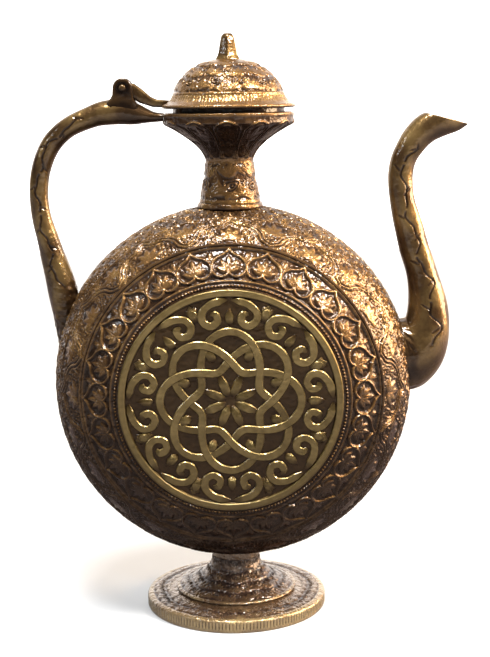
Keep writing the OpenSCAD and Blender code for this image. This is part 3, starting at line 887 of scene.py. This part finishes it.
def reeds(along, angle, start, end, count, depth):
    """A row of fine upright reeds."""
    a = folded(angle, count)
    reed = ridge(a, math.pi / count) ** 0.35
    zone = span(along, start, end, 0.5)
    return zone * depth * (reed - 1), np.where(zone > 0.5, 0.30 + 0.44 * reed, 0)


def plain(along, angle, radius):
    """Nearly smooth metal with a slow unevenness."""
    wave = wavy(along, angle, radius)
    return 0.05 * wave, 0.55 + 0.15 * wave


print("plain metal is rubbed to", plain(0, 0, 10)[1].round(2), "at one place")

# %% [markdown]
# The foot is a flat ring with a reeded edge and a bright bevel, hollow underneath so that it stands on its rim,
# and a bell-shaped stem with a rounded lower edge. The bell's curve is a power of the height: steep at the
# waist and running out flat at the bottom.

# %% Make the foot's ring
EDGE_H = 6.3
shoulder_z = EDGE_H + 2.3
shoulder_r = corners("foot_bell")[1].x - 1
EDGE_REEDS, EDGE_GLINT = 168, 0.22
disc_face = [(foot_r - 4.6, 0), (foot_r - 0.5, 0), (foot_r, 0.5), (foot_r, EDGE_H - 0.9), (foot_r - 0.5, EDGE_H),
             (foot_r - 1.6, EDGE_H + 0.5), (foot_r - 3.2, EDGE_H + 0.65), (shoulder_r, shoulder_z)]
disc_back = [(shoulder_r - 4, shoulder_z), (shoulder_r - 4, shoulder_z - 2), (foot_r - 8.6, EDGE_H - 2),
             (foot_r - 4.6, EDGE_H - 3.5)]


def disc_pattern(along, angle, radius):
    """Reeds on the outer edge, a bright bevel, and leaves on the slope."""
    edge, edge_rub = reeds(along, angle, 6.0, 9.8, EDGE_REEDS, depth=0.4)
    slope, rub = relief_band(along, angle, radius, 13.6, 23.0, 38, depth=0.6, pitch=6.2, ground=0.36, high=0.62)
    rub = np.where(along < 13.4, 0.78, rub)
    # The reeded edge gets a painted highlight on top of its rubbed brightness.
    return edge + slope, np.where(edge_rub > 0, edge_rub + EDGE_GLINT, rub)


disc_mesh = worked(spun(disc_face, 0.45, disc_back, 6 * EDGE_REEDS, WEDGES), "disc", disc_pattern)
finished(disc_mesh, "foot_disc_look", "jug", ["foot_disc"], foot_brass)

# %% Make the foot's bell
STEM_R, STEM_H = 12.7, 6.4
BELL_BEND = 2.1
bead_z = shoulder_z + 1.1
bell_face = [(shoulder_r + 0.4, shoulder_z), (shoulder_r + 1, bead_z - 0.5), (shoulder_r + 1, bead_z),
             (shoulder_r + 0.4, bead_z + 0.6), (shoulder_r - 0.8, bead_z + 0.8)]
waist_z = body_z - body_r - 4
bell_h = waist_z - bead_z - 1
spread = shoulder_r - 1.6 - STEM_R
bell_face += [(STEM_R + spread * (1 - k / 16) ** BELL_BEND, bead_z + 1 + bell_h * k / 16) for k in range(17)]
bell_face += [(STEM_R, waist_z + STEM_H)]
bell_in = STEM_R - WALL
bell_back = [(bell_in, waist_z + STEM_H), (bell_in, waist_z)] + [
    (bell_in + spread * (1 - k / 6) ** BELL_BEND, bead_z + bell_h * k / 6)
    for k in range(5, -1, -1)] + [(shoulder_r - 3, shoulder_z)]


def bell_pattern(along, angle, radius):
    """A plain rounded edge, then leaves that climb the bell."""
    slope, rub = relief_band(along, angle, radius, 3.4, 29.0, 14, depth=0.65, pitch=6.4, ground=0.26, high=0.54)
    return slope, np.where(along < 3.2, 0.66, rub)


bell_mesh = worked(spun(bell_face, 0.42, bell_back, 480, WEDGES), "bell", bell_pattern)
finished(bell_mesh, "foot_bell_look", "jug", ["foot_bell"], foot_brass)

# %% [markdown]
# A plain bead, half round in section, hides the joint between body and neck. The neck is a waisted tube that
# goes down through the bead into the body. Its bore stays open, so that one can look down into the jug.

# %% Make the collar and the neck
BEAD_R = 2.2
sunk_z = body_z + body_r - 4
collar_face = [(collar_high.x - 0.6, sunk_z)]
collar_face += arc(collar_high.x - BEAD_R, collar_high.z - BEAD_R, BEAD_R, BEAD_R, range(-70, 91, 10))
collar_back = [(NECK_HOLE_R, collar_high.z), (NECK_HOLE_R, sunk_z)]
collar_mesh = worked(spun(collar_face, 0.4, collar_back, 288, 12), "collar", plain)
finished(collar_mesh, "neck_collar_look", "jug", ["neck_collar"], ornament_brass)

WAIST_R = 12.3
SPIGOT_R = 13.3
neck_top = cup_low.z
bore_r = WAIST_R - WALL
neck_face = [(WAIST_R + (stem_high.x - WAIST_R) * (1 - k / 12) ** 1.35,
              collar_high.z + (neck_top - collar_high.z) * k / 12) for k in range(13)]
neck_back = [(bore_r, neck_top), (bore_r, stem_low.z), (SPIGOT_R, stem_low.z), (SPIGOT_R, collar_high.z)]


def neck_pattern(along, angle, radius):
    """Large leaves round the neck between plain ends."""
    return relief_band(along, angle, radius, 1.6, 20.0, 6, depth=0.65, pitch=11.5, ground=0.26, high=0.56)


neck_mesh = worked(spun(neck_face, 0.3, neck_back, 360, WEDGES), "neck", neck_pattern)
finished(neck_mesh, "neck_stem_look", "jug", ["neck_stem"], ornament_brass)

# %% [markdown]
# The cup flares out like a trumpet to an upright band. Twelve tall panels with round tops stand on it. Each
# panel is one distance, from its middle line and from the centre of its top at once, so its two borders are
# simply two ridges at fixed distances.

# %% Make the cup
BAND_H = 6.0
LIP_IN = 27.3
PANELS = 12
band_z = mouth_z - BAND_H
flare = [(WAIST_R + (mouth_r - 0.7 - WAIST_R) * (k / 14) ** 1.75, neck_top + (band_z - neck_top) * k / 14)
         for k in range(15)]
cup_face = flare + [(mouth_r, band_z + 0.8), (mouth_r, mouth_z - 0.5), (mouth_r - 0.5, mouth_z), (LIP_IN, mouth_z)]
cup_back = [(LIP_IN, mouth_z - 2.6)] + [(min(r - WALL, LIP_IN), z + 1.6) for r, z in flare[12:1:-2]] + [
    (bore_r, neck_top)]
flare_run = resampled(flare, 1)[1][-1]


def cup_pattern(along, angle, radius):
    """Tall panels with round-arched tops that reach up on to the band."""
    a = folded(angle, PANELS)
    x = a * radius
    half = math.pi / PANELS * radius
    crown = flare_run + 3.2
    spring = flare_run - 6.0
    outward = np.hypot(x, np.maximum(along - spring, 0) * half / (crown - spring))
    far = np.abs(outward - 0.86 * half)
    border = np.maximum(ridge(far, 0.7), ridge(np.abs(outward - 0.66 * half), 0.45) * 0.7)
    inside = outward < 0.6 * half
    leafage = fan(x, along - spring + 9, 13, 5, 24) * inside
    low = fan(x, along - 2, 11, 3, 18) * inside
    zone = span(along, 1.5, crown + 1.2, 1.0, 0.8)
    top = np.maximum.reduce([border, leafage * 0.75, low * 0.75])
    wave = wavy(along, angle, radius)
    height = zone * (-0.22 + 0.55 * top + 0.07 * wave)
    return height, np.where(zone > 0.5, worn(top, 0.34, 0.66), 0.56) + 0.08 * wave


cup_mesh = worked(spun(cup_face, 0.4, cup_back, 600, WEDGES), "cup", cup_pattern)
finished(cup_mesh, "mouth_cup_look", "jug", ["mouth_cup"], ornament_brass)

# %% [markdown]
# The lid is a dome on a flange, with a flared foot between them and a small flat on top for the knob. The dome
# could be a sphere, but it is a little flatter, so its rise and its radius are set apart. Inside it is hollow.
# All of it rides on the lid's own body, so that it turns about the rivet.

# %% Make the lid
FLANGE_H = 2.2
DOME_R, FLAT_R = 28.3, 7.0
lid_z, flat_z = lid_low.z, lid_high.z
start_z = lid_z + FLANGE_H + 1.4
end_angle = math.degrees(math.acos(FLAT_R / DOME_R))
dome_rise = (flat_z - start_z) / math.sin(math.radians(end_angle))
lid_face = [(lid_r - inward, lid_z + up) for inward, up in (
    (1.2, 0), (0.3, 0.25), (0, 0.9), (0.1, 1.5), (0.7, 2.0), (2.0, 2.5), (3.4, 3.5), (4.6, 4.9), (5.5, 6.6))]
lid_face += [(DOME_R - 0.5, lid_z + 8.2)]
lid_face += arc(0, start_z, DOME_R, dome_rise, [end_angle * k / 20 for k in range(5, 21)]) + [(0, flat_z)]
inner_r = DOME_R - WALL
inner_rise = flat_z - WALL - lid_z - FLANGE_H
lid_back = [(0, flat_z - WALL)] + arc(0, lid_z + FLANGE_H, inner_r, inner_rise, range(84, -1, -12))
lid_back += [(inner_r, lid_z)]


def lid_pattern(along, angle, radius):
    """Reeds just above the flange, a plain fillet, then two rows of leaves."""
    edge, edge_rub = reeds(along, angle, 6.2, 10.2, 104, depth=0.35)
    slope, rub = relief_band(along, angle, radius, 11.6, 33.5, 12, depth=0.85, pitch=8.6, ground=0.34, high=0.66)
    fillet = ridge(along - 10.9, 0.6) * 0.25
    rub = np.where(along < 11.6, 0.60, rub)
    return edge + slope + fillet, np.where(edge_rub > 0, edge_rub, rub)


dome_mesh = worked(spun(lid_face, 0.4, lid_back, 720, WEDGES), "dome", lid_pattern)
finished(dome_mesh, "lid_dome_look", "lid", ["lid_dome"], ornament_brass)

# %% [markdown]
# Under the flange sits a ring that keeps the lid in place: it drops into the mouth and is coloured dark
# all over. It is turned like the rest, as one outline that comes back up on its inside.

# %% Make the lid's ring
RING_RUB = 0.08
ring_low, ring_high = corners("lid_locating_ring")
plug_r = LIP_IN - 1.8
plug_in = plug_r - WALL
ring_outline = [(plug_in, ring_low.z), (plug_r - 0.3, ring_low.z), (plug_r, ring_low.z + 0.4), (plug_r, mouth_z),
                (ring_high.x, mouth_z), (ring_high.x, lid_z), (plug_in, lid_z)]
ring_mesh = worked(spun(ring_outline, 0.5, [(plug_in, mouth_z)], 240, 12), "ring", plain)
keep(ring_mesh, "relief", [RING_RUB] * len(ring_mesh.vertices))
finished(ring_mesh, "lid_ring_look", "lid", ["lid_locating_ring"], plain_brass, crease=40)

# %% [markdown]
# The knob, the spout and the handle are lofts: rings set one after another and bridged. A ring is an oval with
# a middle, a half thickness across the path and a half width in Y. The knob has rings of six points only, so it
# keeps its six flats, and a bevel rounds its edges a little.

# %% Loft rings into a solid
def ring_matrix(centre, across, half, half_width):
    """Lays a unit circle across the path: its x along `across`, its y along Y."""
    u = Vector((across[0], 0, across[1])).normalized()
    v = Vector((0, 1, 0))
    w = u.cross(v)
    turn = Matrix((u * half, v * half_width, w)).transposed().to_4x4()
    return Matrix.Translation(Vector((centre[0], 0, centre[1]))) @ turn


def lofted(matrices, segments, loop=False, shaping=None):
    """Bridges circles that are laid down by matrices; a loop joins its last ring to its first."""
    bm = bmesh.new()
    rings = []
    for k, matrix in enumerate(matrices):
        ends = not loop and k in (0, len(matrices) - 1)
        made = bmesh.ops.create_circle(bm, cap_ends=ends, segments=segments, radius=1, matrix=matrix)["verts"]
        if shaping:
            shaping(k, made)
        inside = set(made)
        rings.append([e for e in {e for v in made for e in v.link_edges} if inside.issuperset(e.verts)])
    pairs = list(zip(rings, rings[1:])) + ([(rings[-1], rings[0])] if loop else [])
    for a, b in pairs:
        bmesh.ops.bridge_loops(bm, edges=a + b)
    bmesh.ops.recalc_face_normals(bm, faces=bm.faces)
    return bm


print("a ring of a loft can lie at", ring_matrix((pin_x, pin_z), (1, 0), 1, 1).translation[:])

# %% Make the knob
KNOB = [(7.2, -0.6), (6.7, 0.5), (5.9, 1.7), (5.4, 3.0), (4.1, 9.4), (3.5, 11.4), (2.2, tip_z - flat_z)]
bm = lofted([Matrix.Translation((0, 0, flat_z + up)) @ Matrix.Diagonal((r, r, 1, 1)) for r, up in KNOB], 6)
bmesh.ops.bevel(bm, geom=bm.edges[:], offset=0.3, segments=2, profile=0.5, affect="EDGES", material=-1)
knob_mesh = worked(bm, "knob")
co = mesh_arrays(knob_mesh)[0]
keep(knob_mesh, "relief", 0.45 + 0.12 * unevenness(co[:, 0] * 3, co[:, 2] * 2))
finished(knob_mesh, "lid_finial_look", "lid", ["lid_finial"], plain_brass, crease=30)
print("knob reaches", round(float(co[:, 2].max()), 2), "mm high")

# %% [markdown]
# The handle and the spout are castings with no hard edges. Their rings could be set close together, but coarse
# rings that are smoothed by subdivision give a softer bow. Subdivision draws a ring in a little, so the rings
# start that much wider.

# %% Smooth a loft
SMOOTHING = 1.025


def beside(side, out, share):
    """A place past the side of the body, at a share of the height from its middle to the mouth."""
    return side * (body_r + out), body_z + (mouth_z - body_z) * share


def smoothed(bm, name, levels):
    """A mesh after subdivision smoothing."""
    return applied(worked(bm, name), "SUBSURF", levels=levels, render_levels=levels)


print("rings start", round(100 * (SMOOTHING - 1), 1), "% wider than the finished piece")

# %% [markdown]
# A vine is chased along both sides of handle and spout: a wavy groove with a small leaf in every bend. It
# stops short of the root, where the casting is lumpy and darkened with painted shade where it meets the body.
# It could be carved with a cutter, but moving points is enough for so fine a line. A point's place along the
# piece is read from the nearest point of its middle line.

# %% Chase a vine into a loft
GROOVE_HALF = 0.75
LEAF_TURN = -38


def vine_groove(mesh, middle, half, wave, share_in, share_out, depth, aside, reach):
    """Chases a wavy line with leaves into a loft's sides; its middle line is given as (x, z)."""
    co, no = mesh_arrays(mesh)
    run = np.concatenate([[0], np.cumsum(np.hypot(*np.diff(middle, axis=0).T))])
    nearest = np.argmin((co[:, :1] - middle[:, 0]) ** 2 + (co[:, 2:] - middle[:, 1]) ** 2, axis=1)
    heading = np.gradient(middle, axis=0)
    heading /= np.hypot(*heading.T)[:, None]
    gap = co[:, [0, 2]] - middle[nearest]
    ahead = heading[nearest]
    reached = run[nearest] + gap[:, 0] * ahead[:, 0] + gap[:, 1] * ahead[:, 1]
    across = (gap[:, 0] * ahead[:, 1] - gap[:, 1] * ahead[:, 0]) / half[nearest]
    phase = 2 * math.pi * reached / wave
    drift = aside + 0.22 * np.sin(phase) + 0.09 * np.sin(2.3 * phase + 1)
    unbroken = step(np.abs(np.sin(0.5 * phase + 0.4)), 0.10, 0.1)
    line = ridge((across - drift) * half[nearest], GROOVE_HALF) * unbroken
    bend = np.round(reached / (wave / 2) - 0.5)
    side = np.where(bend % 2 == 0, 1.0, -1.0)
    x = reached - (bend + 0.35) * wave / 2
    y = (across * side - 0.05) * half[nearest]
    sprig = leaf(*turned(x, y, LEAF_TURN), 0.24 * wave, GROOVE_HALF, 0)
    cut = np.maximum(line, 0.7 * sprig)
    share = reached / run[-1]
    zone = (np.abs(no[:, 1]) > 0.35) * span(share, share_in, share_out, 0.02)
    co -= no * (depth * cut * zone)[:, None]
    wobble = unevenness(reached * 0.5, across * 4 + co[:, 1])
    root = 1 - step(np.hypot(co[:, 0], co[:, 2] - body_z), body_r + reach, 1.6 * reach)
    lumps = unevenness(reached * 2.3, co[:, 1] * 2.1 + across * 3)
    co += no * (0.09 * wobble + 0.28 * root * lumps)[:, None]
    mesh.vertices.foreach_set("co", co.astype(np.float32).ravel())
    # Painted shade at the root, where the piece meets the body; the groove itself is darkened as patina.
    darker = 0.50 * cut * zone + (0.22 - 0.12 * lumps) * root
    keep(mesh, "relief", np.clip(0.47 + 0.14 * wobble - darker, 0, 1))


print("the vine's groove is", 2 * GROOVE_HALF, "mm wide")

# %% [markdown]
# The handle leaves the mouth, carries the hinge, and swings down to a thick root on the body. Each row gives
# the middle, the half thickness and the half width at one station along its bow.

# %% Make the handle's bow
THICK = 4.9
handle_rows = [
    (-mouth_r + 3, mouth_z - 2.2, 1.9, 3.4), (-mouth_r - 4, mouth_z - 2, 2.6, 3.8),
    (-mouth_r - 9, mouth_z - 1.2, 3.9, 4.6), (pin_x + 5.5, mouth_z - 0.2, 5.6, 5.3),
    (pin_x - 3, mouth_z + 0.9, 6.4, 5.5), (pin_x - 10.5, mouth_z + 0.3, 6.2, 5.5)]
handle_rows += [(*beside(-1, out, share), THICK + thicker, half_width) for out, share, thicker, half_width in (
    (-22, 0.988, 0.7, 5.4), (-10.5, 0.953, 0.3, 5.4), (-1.5, 0.893, 0.2, 5.4), (3.7, 0.815, 0.1, 5.4),
    (5.9, 0.72, 0, 5.4), (4.9, 0.625, 0.1, 5.6), (1.6, 0.53, 0.9, 6.2), (-1.6, 0.44, 2, 7.2),
    (-4.4, 0.355, 2.8, 8.2), (-6.2, 0.26, 2.2, 8.2), (-6.6, 0.175, 0.6, 7), (-6.6, 0.11, -0.8, 5.6))]
rows = densified(handle_rows, 4)
heading = np.gradient(rows[:, :2], axis=0)
matrices = [ring_matrix((x, z), (dz, -dx), half * SMOOTHING, width * SMOOTHING)
            for (x, z, half, width), (dx, dz) in zip(rows, heading)]
handle_mesh = smoothed(lofted(matrices, 14), "handle", 3)
fine = densified(handle_rows, 16)
vine_groove(handle_mesh, fine[:, :2], fine[:, 2], wave=21.0, share_in=0.25, share_out=0.80, depth=0.42,
            aside=0.0, reach=6.5)
print("handle's bow has", len(handle_mesh.polygons), "faces")

# %% [markdown]
# The hinge's ears stand on a boss: its outline is extruded to the full width, and its lower part is drawn in
# a little so that it grows out of the bow. The slot, the rivet's hole, a shallow seat for each rivet head and
# the round of the mouth are then cut out of boss and bow together.

# %% Slabs and boxes
EAR_R, EARS_W, SLOT_W = 4.9, 11.0, 4.8
PIN_R, HEAD_SEAT_R = 1.5, 2.9
boss_outline = arc(pin_x, pin_z, EAR_R, EAR_R, range(0, 181, 12))
boss_outline += [(pin_x - EAR_R - 0.3, mouth_z + 9.4), (pin_x - EAR_R - 1.3, mouth_z + 7.6),
                 (pin_x - EAR_R - 3.4, mouth_z + 5.8), (pin_x - EAR_R - 1.0, mouth_z + 0.9),
                 (pin_x + EAR_R + 1.0, mouth_z + 0.9), (pin_x + EAR_R + 2.6, mouth_z + 4.2),
                 (pin_x + EAR_R + 0.6, mouth_z + 7.2)]


def slab(outline, width, edge):
    """A flat piece with the outline in XZ, `width` thick in Y, its edges rounded."""
    bm = bmesh.new()
    face = bm.faces.new([bm.verts.new((x, -width / 2, z)) for x, z in outline])
    made = bmesh.ops.extrude_face_region(bm, geom=[face])["geom"]
    bmesh.ops.translate(bm, vec=(0, width, 0), verts=[v for v in made if isinstance(v, bmesh.types.BMVert)])
    bmesh.ops.recalc_face_normals(bm, faces=bm.faces)
    rims = [e for e in bm.edges if abs(e.verts[0].co.y - e.verts[1].co.y) < 0.1]
    bmesh.ops.bevel(bm, geom=rims, offset=edge, segments=3, profile=0.5, affect="EDGES", material=-1)
    return bm


def box_between(low, high):
    """A box between two corners, to cut with."""
    bm = bmesh.new()
    size = Vector(high) - Vector(low)
    bmesh.ops.create_cube(bm, size=1, matrix=Matrix.Translation((Vector(low) + Vector(high)) / 2)
                          @ Matrix.Diagonal((*size, 1)))
    return plain_mesh(bm, "box")


print("boss outline has", len(boss_outline), "corners")

# %% Make the hinge's ears
BOSS_FOOT = mouth_z + 5.5
bm = slab(boss_outline, EARS_W, 0.9)
bmesh.ops.triangulate(bm, faces=bm.faces)
for v in bm.verts:
    v.co.y *= 1 - 0.16 * min(1, max(0, (BOSS_FOOT - v.co.z) / 4))
handle_mesh = joined(handle_mesh, worked(bm, "boss"), "UNION")
seat_in = EARS_W / 2 - 0.5
for cutter in (box_between((pin_x - 4 * EAR_R, -SLOT_W / 2, pin_z - EAR_R - 0.5),
                           (pin_x + 4 * EAR_R, SLOT_W / 2, pin_z + 20)),
               rod(PIN_R, (pin_x, -20, pin_z), (pin_x, 20, pin_z)),
               rod(HEAD_SEAT_R, (pin_x, -20, pin_z), (pin_x, -seat_in, pin_z)),
               rod(HEAD_SEAT_R, (pin_x, seat_in, pin_z), (pin_x, 20, pin_z)),
               rod(mouth_r, (0, 0, mouth_z - 30), (0, 0, mouth_z + 30), 128)):
    handle_mesh = joined(handle_mesh, cutter, "DIFFERENCE")
co = mesh_arrays(handle_mesh)[0]
rub = np.empty(len(co), np.float32)
handle_mesh.attributes["relief"].data.foreach_get("value", rub)
# Darker towards the mouth, partly patina and partly painted shade of the lid, and a little darker on the boss.
rub -= 0.24 * step(co[:, 0], pin_x - 2, 10) + 0.07 * step(co[:, 2], BOSS_FOOT, 4)
keep(handle_mesh, "relief", np.clip(rub, 0.05, 1))
finished(handle_mesh, "handle_look", "jug", ["handle"], plain_brass, crease=50)

# %% [markdown]
# The spout is a hollow swan neck. Each row gives its inner and outer edge, its half width and how far its
# outer side is drawn to a point, as at the beak. The rings go up along the outside and come back down along
# the bore, and the last one is bridged to the first, so that both ends are open and the wall is closed.

# %% The spout's rows
beak = body_r + 29.6
beak_z = mouth_z - 7.5
spout_rows = [(body_r + out_in, body_z + up_in, body_r + out_out, body_z + up_out, half_width, 0)
              for out_in, up_in, out_out, up_out, half_width in (
                  (-12, 30, -12, -6, 14.5), (-3, 32, 2.6, -5.6, 14.5), (-1.9, 33.2, 10.8, -0.6, 14),
                  (-1.5, 34.6, 17, 8, 13.4), (-1.2, 36.4, 20, 18, 12.6))]
spout_rows += [(*beside(1, out_in, share_in), *beside(1, out_out, share_out), half_width, 0)
               for out_in, share_in, out_out, share_out, half_width in (
                   (-0.9, 0.283, 20.7, 0.205, 11.5), (-0.7, 0.315, 19.6, 0.281, 10.3),
                   (-1, 0.358, 17.2, 0.345, 9.2), (-2.3, 0.413, 13.8, 0.415, 8.2),
                   (-5.4, 0.485, 10, 0.497, 7.7), (-8.4, 0.578, 6, 0.593, 7.2),
                   (-10.8, 0.682, 2, 0.682, 6.4), (-11.4, 0.745, 1.2, 0.735, 6.2),
                   (-11, 0.79, 1.5, 0.776, 6.1), (-9.6, 0.836, 3, 0.815, 6.2))]
spout_rows += [(beak + out_in, beak_z + up_in, beak + out_out, beak_z + up_out, half_width, point)
               for out_in, up_in, out_out, up_out, half_width, point in (
                   (-36.2, -8.6, -23.4, -13.8, 6.5, 0), (-33.2, -3.4, -18.6, -9, 6.7, 0.05),
                   (-28.8, 1.8, -12, -5.8, 6.7, 0.15), (-25, 4.9, -5, -3.4, 6.2, 0.32),
                   (-22.4, 6, 0, 0, 5.6, 0.5))]
print(f"spout from {body_z - 6:.0f} to {beak_z + 6:.0f} mm high, beak {beak:.0f} mm out")

# %% Make the spout
SPOUT_WALL = 1.6
outer_rows = densified(spout_rows, 3)
inner_rows = outer_rows[::-6]
insets = [0] * len(outer_rows) + [SPOUT_WALL] * len(inner_rows)
all_rows = np.vstack([outer_rows, inner_rows])


def spout_matrix(row, inset):
    """Lays a ring between the spout's two edges, drawn in by the wall for the bore."""
    p, q = Vector(row[:2]), Vector(row[2:4])
    half = (q - p).length / 2
    return ring_matrix((p + q) / 2, (q - p).normalized(), half * SMOOTHING - inset, row[4] * SMOOTHING - inset)


def sharpened(k, ring):
    """Narrows the outer edge of a ring towards a point, as in a beak."""
    row = all_rows[k]
    p, q = Vector((row[0], 0, row[1])), Vector((row[2], 0, row[3]))
    for v in ring:
        v.co.y *= 1 - row[5] * (v.co - (p + q) / 2).dot(q - p) / ((q - p).length_squared / 2)


bm = lofted([spout_matrix(row, inset) for row, inset in zip(all_rows, insets)], 16, True, sharpened)
spout_mesh = smoothed(bm, "spout", 3)
fine = densified(spout_rows, 16)
middle = (fine[:, :2] + fine[:, 2:4]) / 2
half = np.hypot(*(fine[:, 2:4] - fine[:, :2]).T) / 2
vine_groove(spout_mesh, middle, half, wave=24.0, share_in=0.15, share_out=0.86, depth=0.45, aside=0.16, reach=3.0)
finished(spout_mesh, "spout_look", "jug", ["spout"], plain_brass, crease=50)

# %% [markdown]
# The lid's arm is a flat tongue with a round knuckle between the ears. Its hole is a hair wider than the rivet,
# which is a turned pin with a domed head at either end. The rivet stays in the handle, and the arm turns on it.

# %% Make the lid's arm and the rivet
ARM_W, KNUCKLE_R, LOOSE = 4.2, 4.4, 0.06
flange_x = -lid_r
arm_outline = arc(pin_x, pin_z, KNUCKLE_R, KNUCKLE_R, range(30, 301, 15))
arm_outline += [(pin_x + 8.2, pin_z - 7.6), (flange_x - 4.5, lid_z + 0.9), (flange_x + 4, lid_z + 0.4),
                (flange_x + 4, lid_z + 4.2), (flange_x - 2.3, lid_z + 4.7), (flange_x - 5.6, lid_z + 6.2),
                (pin_x + 9.9, pin_z - 1), (pin_x + 5.6, pin_z + 2.2)]
arm_mesh = worked(slab(arm_outline, ARM_W, 1.3), "arm")
arm_mesh = joined(arm_mesh, rod(PIN_R + LOOSE, (pin_x, -9, pin_z), (pin_x, 9, pin_z)), "DIFFERENCE")
co = mesh_arrays(arm_mesh)[0]
keep(arm_mesh, "relief", 0.4 + 0.1 * unevenness(co[:, 0], co[:, 2]))
finished(arm_mesh, "lid_arm_look", "lid", ["lid_arm"], plain_brass, crease=40)

HEAD_R, HEAD_H = 1.75, 0.8
head_z = EARS_W / 2 - 0.55
half_pin = [(0, head_z + HEAD_H + 0.25)] + arc(0, head_z, HEAD_R, HEAD_H + 0.25, range(75, -1, -15))
half_pin += [(PIN_R, head_z)]
pin_outline = half_pin + [(r, -z) for r, z in reversed(half_pin)]
pin_mesh = worked(spun(pin_outline, 0.3, [], 48, 12), "pin")
pin_place = Matrix.Translation((pin_x, 0, pin_z)) @ stood_up
finished(pin_mesh, "hinge_pin_look", "jug", ["hinge_pin"], plain_brass, pin_place)

# %% [markdown]
# The jug stands on a plain pale floor before a white backdrop. Both could be lit by lamps alone, but a little
# glow of their own keeps them pale and even, and the shiny brass has something bright to reflect.

# %% Floor and backdrop
SHEET_HALF = 3


def sheet(name, colour, roughness, glow):
    """A big flat sheet that glows a little by itself."""
    bm = bmesh.new()
    bmesh.ops.create_grid(bm, x_segments=1, y_segments=1, size=SHEET_HALF)
    thing = bpy.data.objects.new(name, plain_mesh(bm, name))
    bpy.context.collection.objects.link(thing)
    mat = bpy.data.materials.new(name)
    mat.use_nodes = True
    for socket, value in (("Base Color", (colour, colour, colour, 1)), ("Roughness", roughness),
                          ("Emission Color", (1, 1, 1, 1)), ("Emission Strength", glow)):
        mat.node_tree.nodes["Principled BSDF"].inputs[socket].default_value = value
    thing.data.materials.append(mat)
    return thing


floor = sheet("floor", 0.55, 0.7, 0.28)
wall = sheet("backdrop", 0.9, 0.5, 0.95)
wall.location = (0, 1.6, 1.0)
wall.rotation_euler = (math.radians(90), 0, 0)
print("floor and backdrop are", 2 * SHEET_HALF, "m wide")

# %% [markdown]
# Small soft lamps give the crisp highlights: a warm white one at the right front, a cool one from above and a
# weak one at the left. A wide orange one far to the right gives that side its copper glow. The foot stands in
# the body's shade, so a spot lamp with a narrow beam, a snoot, is aimed at it alone.

# %% Lamps
AMBIENT = 0.08
world = bpy.data.worlds.new("studio")
bpy.context.scene.world = world
world.use_nodes = True
world.node_tree.nodes["Background"].inputs["Color"].default_value = (1, 1, 1, 1)
world.node_tree.nodes["Background"].inputs["Strength"].default_value = AMBIENT
bpy.context.scene.view_settings.view_transform = "Standard"


def lamp(name, at, size, power, colour, aim=(0, 0, 0.15), kind="AREA"):
    """A soft lamp that looks at the jug."""
    data = bpy.data.lights.new(name, kind)
    if kind == "AREA":
        data.size = size
    else:
        data.shadow_soft_size = size / 2
    data.energy = power
    data.color = colour
    thing = bpy.data.objects.new(name, data)
    thing.location = at
    thing.rotation_euler = (Vector(aim) - Vector(at)).to_track_quat("-Z", "Y").to_euler()
    bpy.context.collection.objects.link(thing)
    return thing


lamp("key", (0.80, -0.45, 0.95), 0.24, 20, (1.0, 0.94, 0.86))
lamp("top", (-0.12, -0.32, 1.18), 0.26, 16, (0.96, 0.98, 1.0))
lamp("right", (1.15, 0.20, 0.42), 0.60, 30, (1.0, 0.74, 0.48))
lamp("left", (-1.1, -0.45, 0.80), 0.20, 2.2, (0.86, 0.93, 1.0))
snoot = lamp("snoot", (0.08, -0.90, 0.78), 0.08, 42, (0.88, 0.94, 1.0), (0, -0.02, 0.006), "SPOT")
snoot.data.spot_size = math.radians(6.5)
snoot.data.spot_blend = 0.8
print("lamps:", [light.name for light in bpy.data.lights])

# %% [markdown]
# The camera stands about 0.7 m in front, at the height of the lid, and looks slightly down. Its lens is long,
# so the jug is seen with little perspective. It is placed in millimetres from the jug's middle, then turned a
# little round it.

# %% Camera
CAMERA_BACK, CAMERA_UP, CAMERA_SIDE = 703.7, 272.5, 6.7
YAW, TILT, ROLL = -0.94, 9.964, -0.84
FILM_WIDTH, LENS = 36, 74.87
camera_data = bpy.data.cameras.new("camera")
camera_data.sensor_width = FILM_WIDTH
camera_data.lens = LENS
camera = bpy.data.objects.new("camera", camera_data)
turn = Matrix.Rotation(math.radians(-YAW), 4, "Z")
look = Matrix.Rotation(math.radians(90 - TILT), 4, "X") @ Matrix.Rotation(math.radians(ROLL), 4, "Z")
camera.matrix_world = turn @ Matrix.Translation(Vector((CAMERA_SIDE, -CAMERA_BACK, CAMERA_UP)) * MM) @ look
bpy.context.collection.objects.link(camera)
bpy.context.scene.camera = camera
print("camera at", [round(c, 3) for c in camera.matrix_world.translation])

# %% [markdown]
# Last, the triangles of all pieces are added up.

# %% Measure and finish
print("triangles in all", sum(pieces_made.values()))
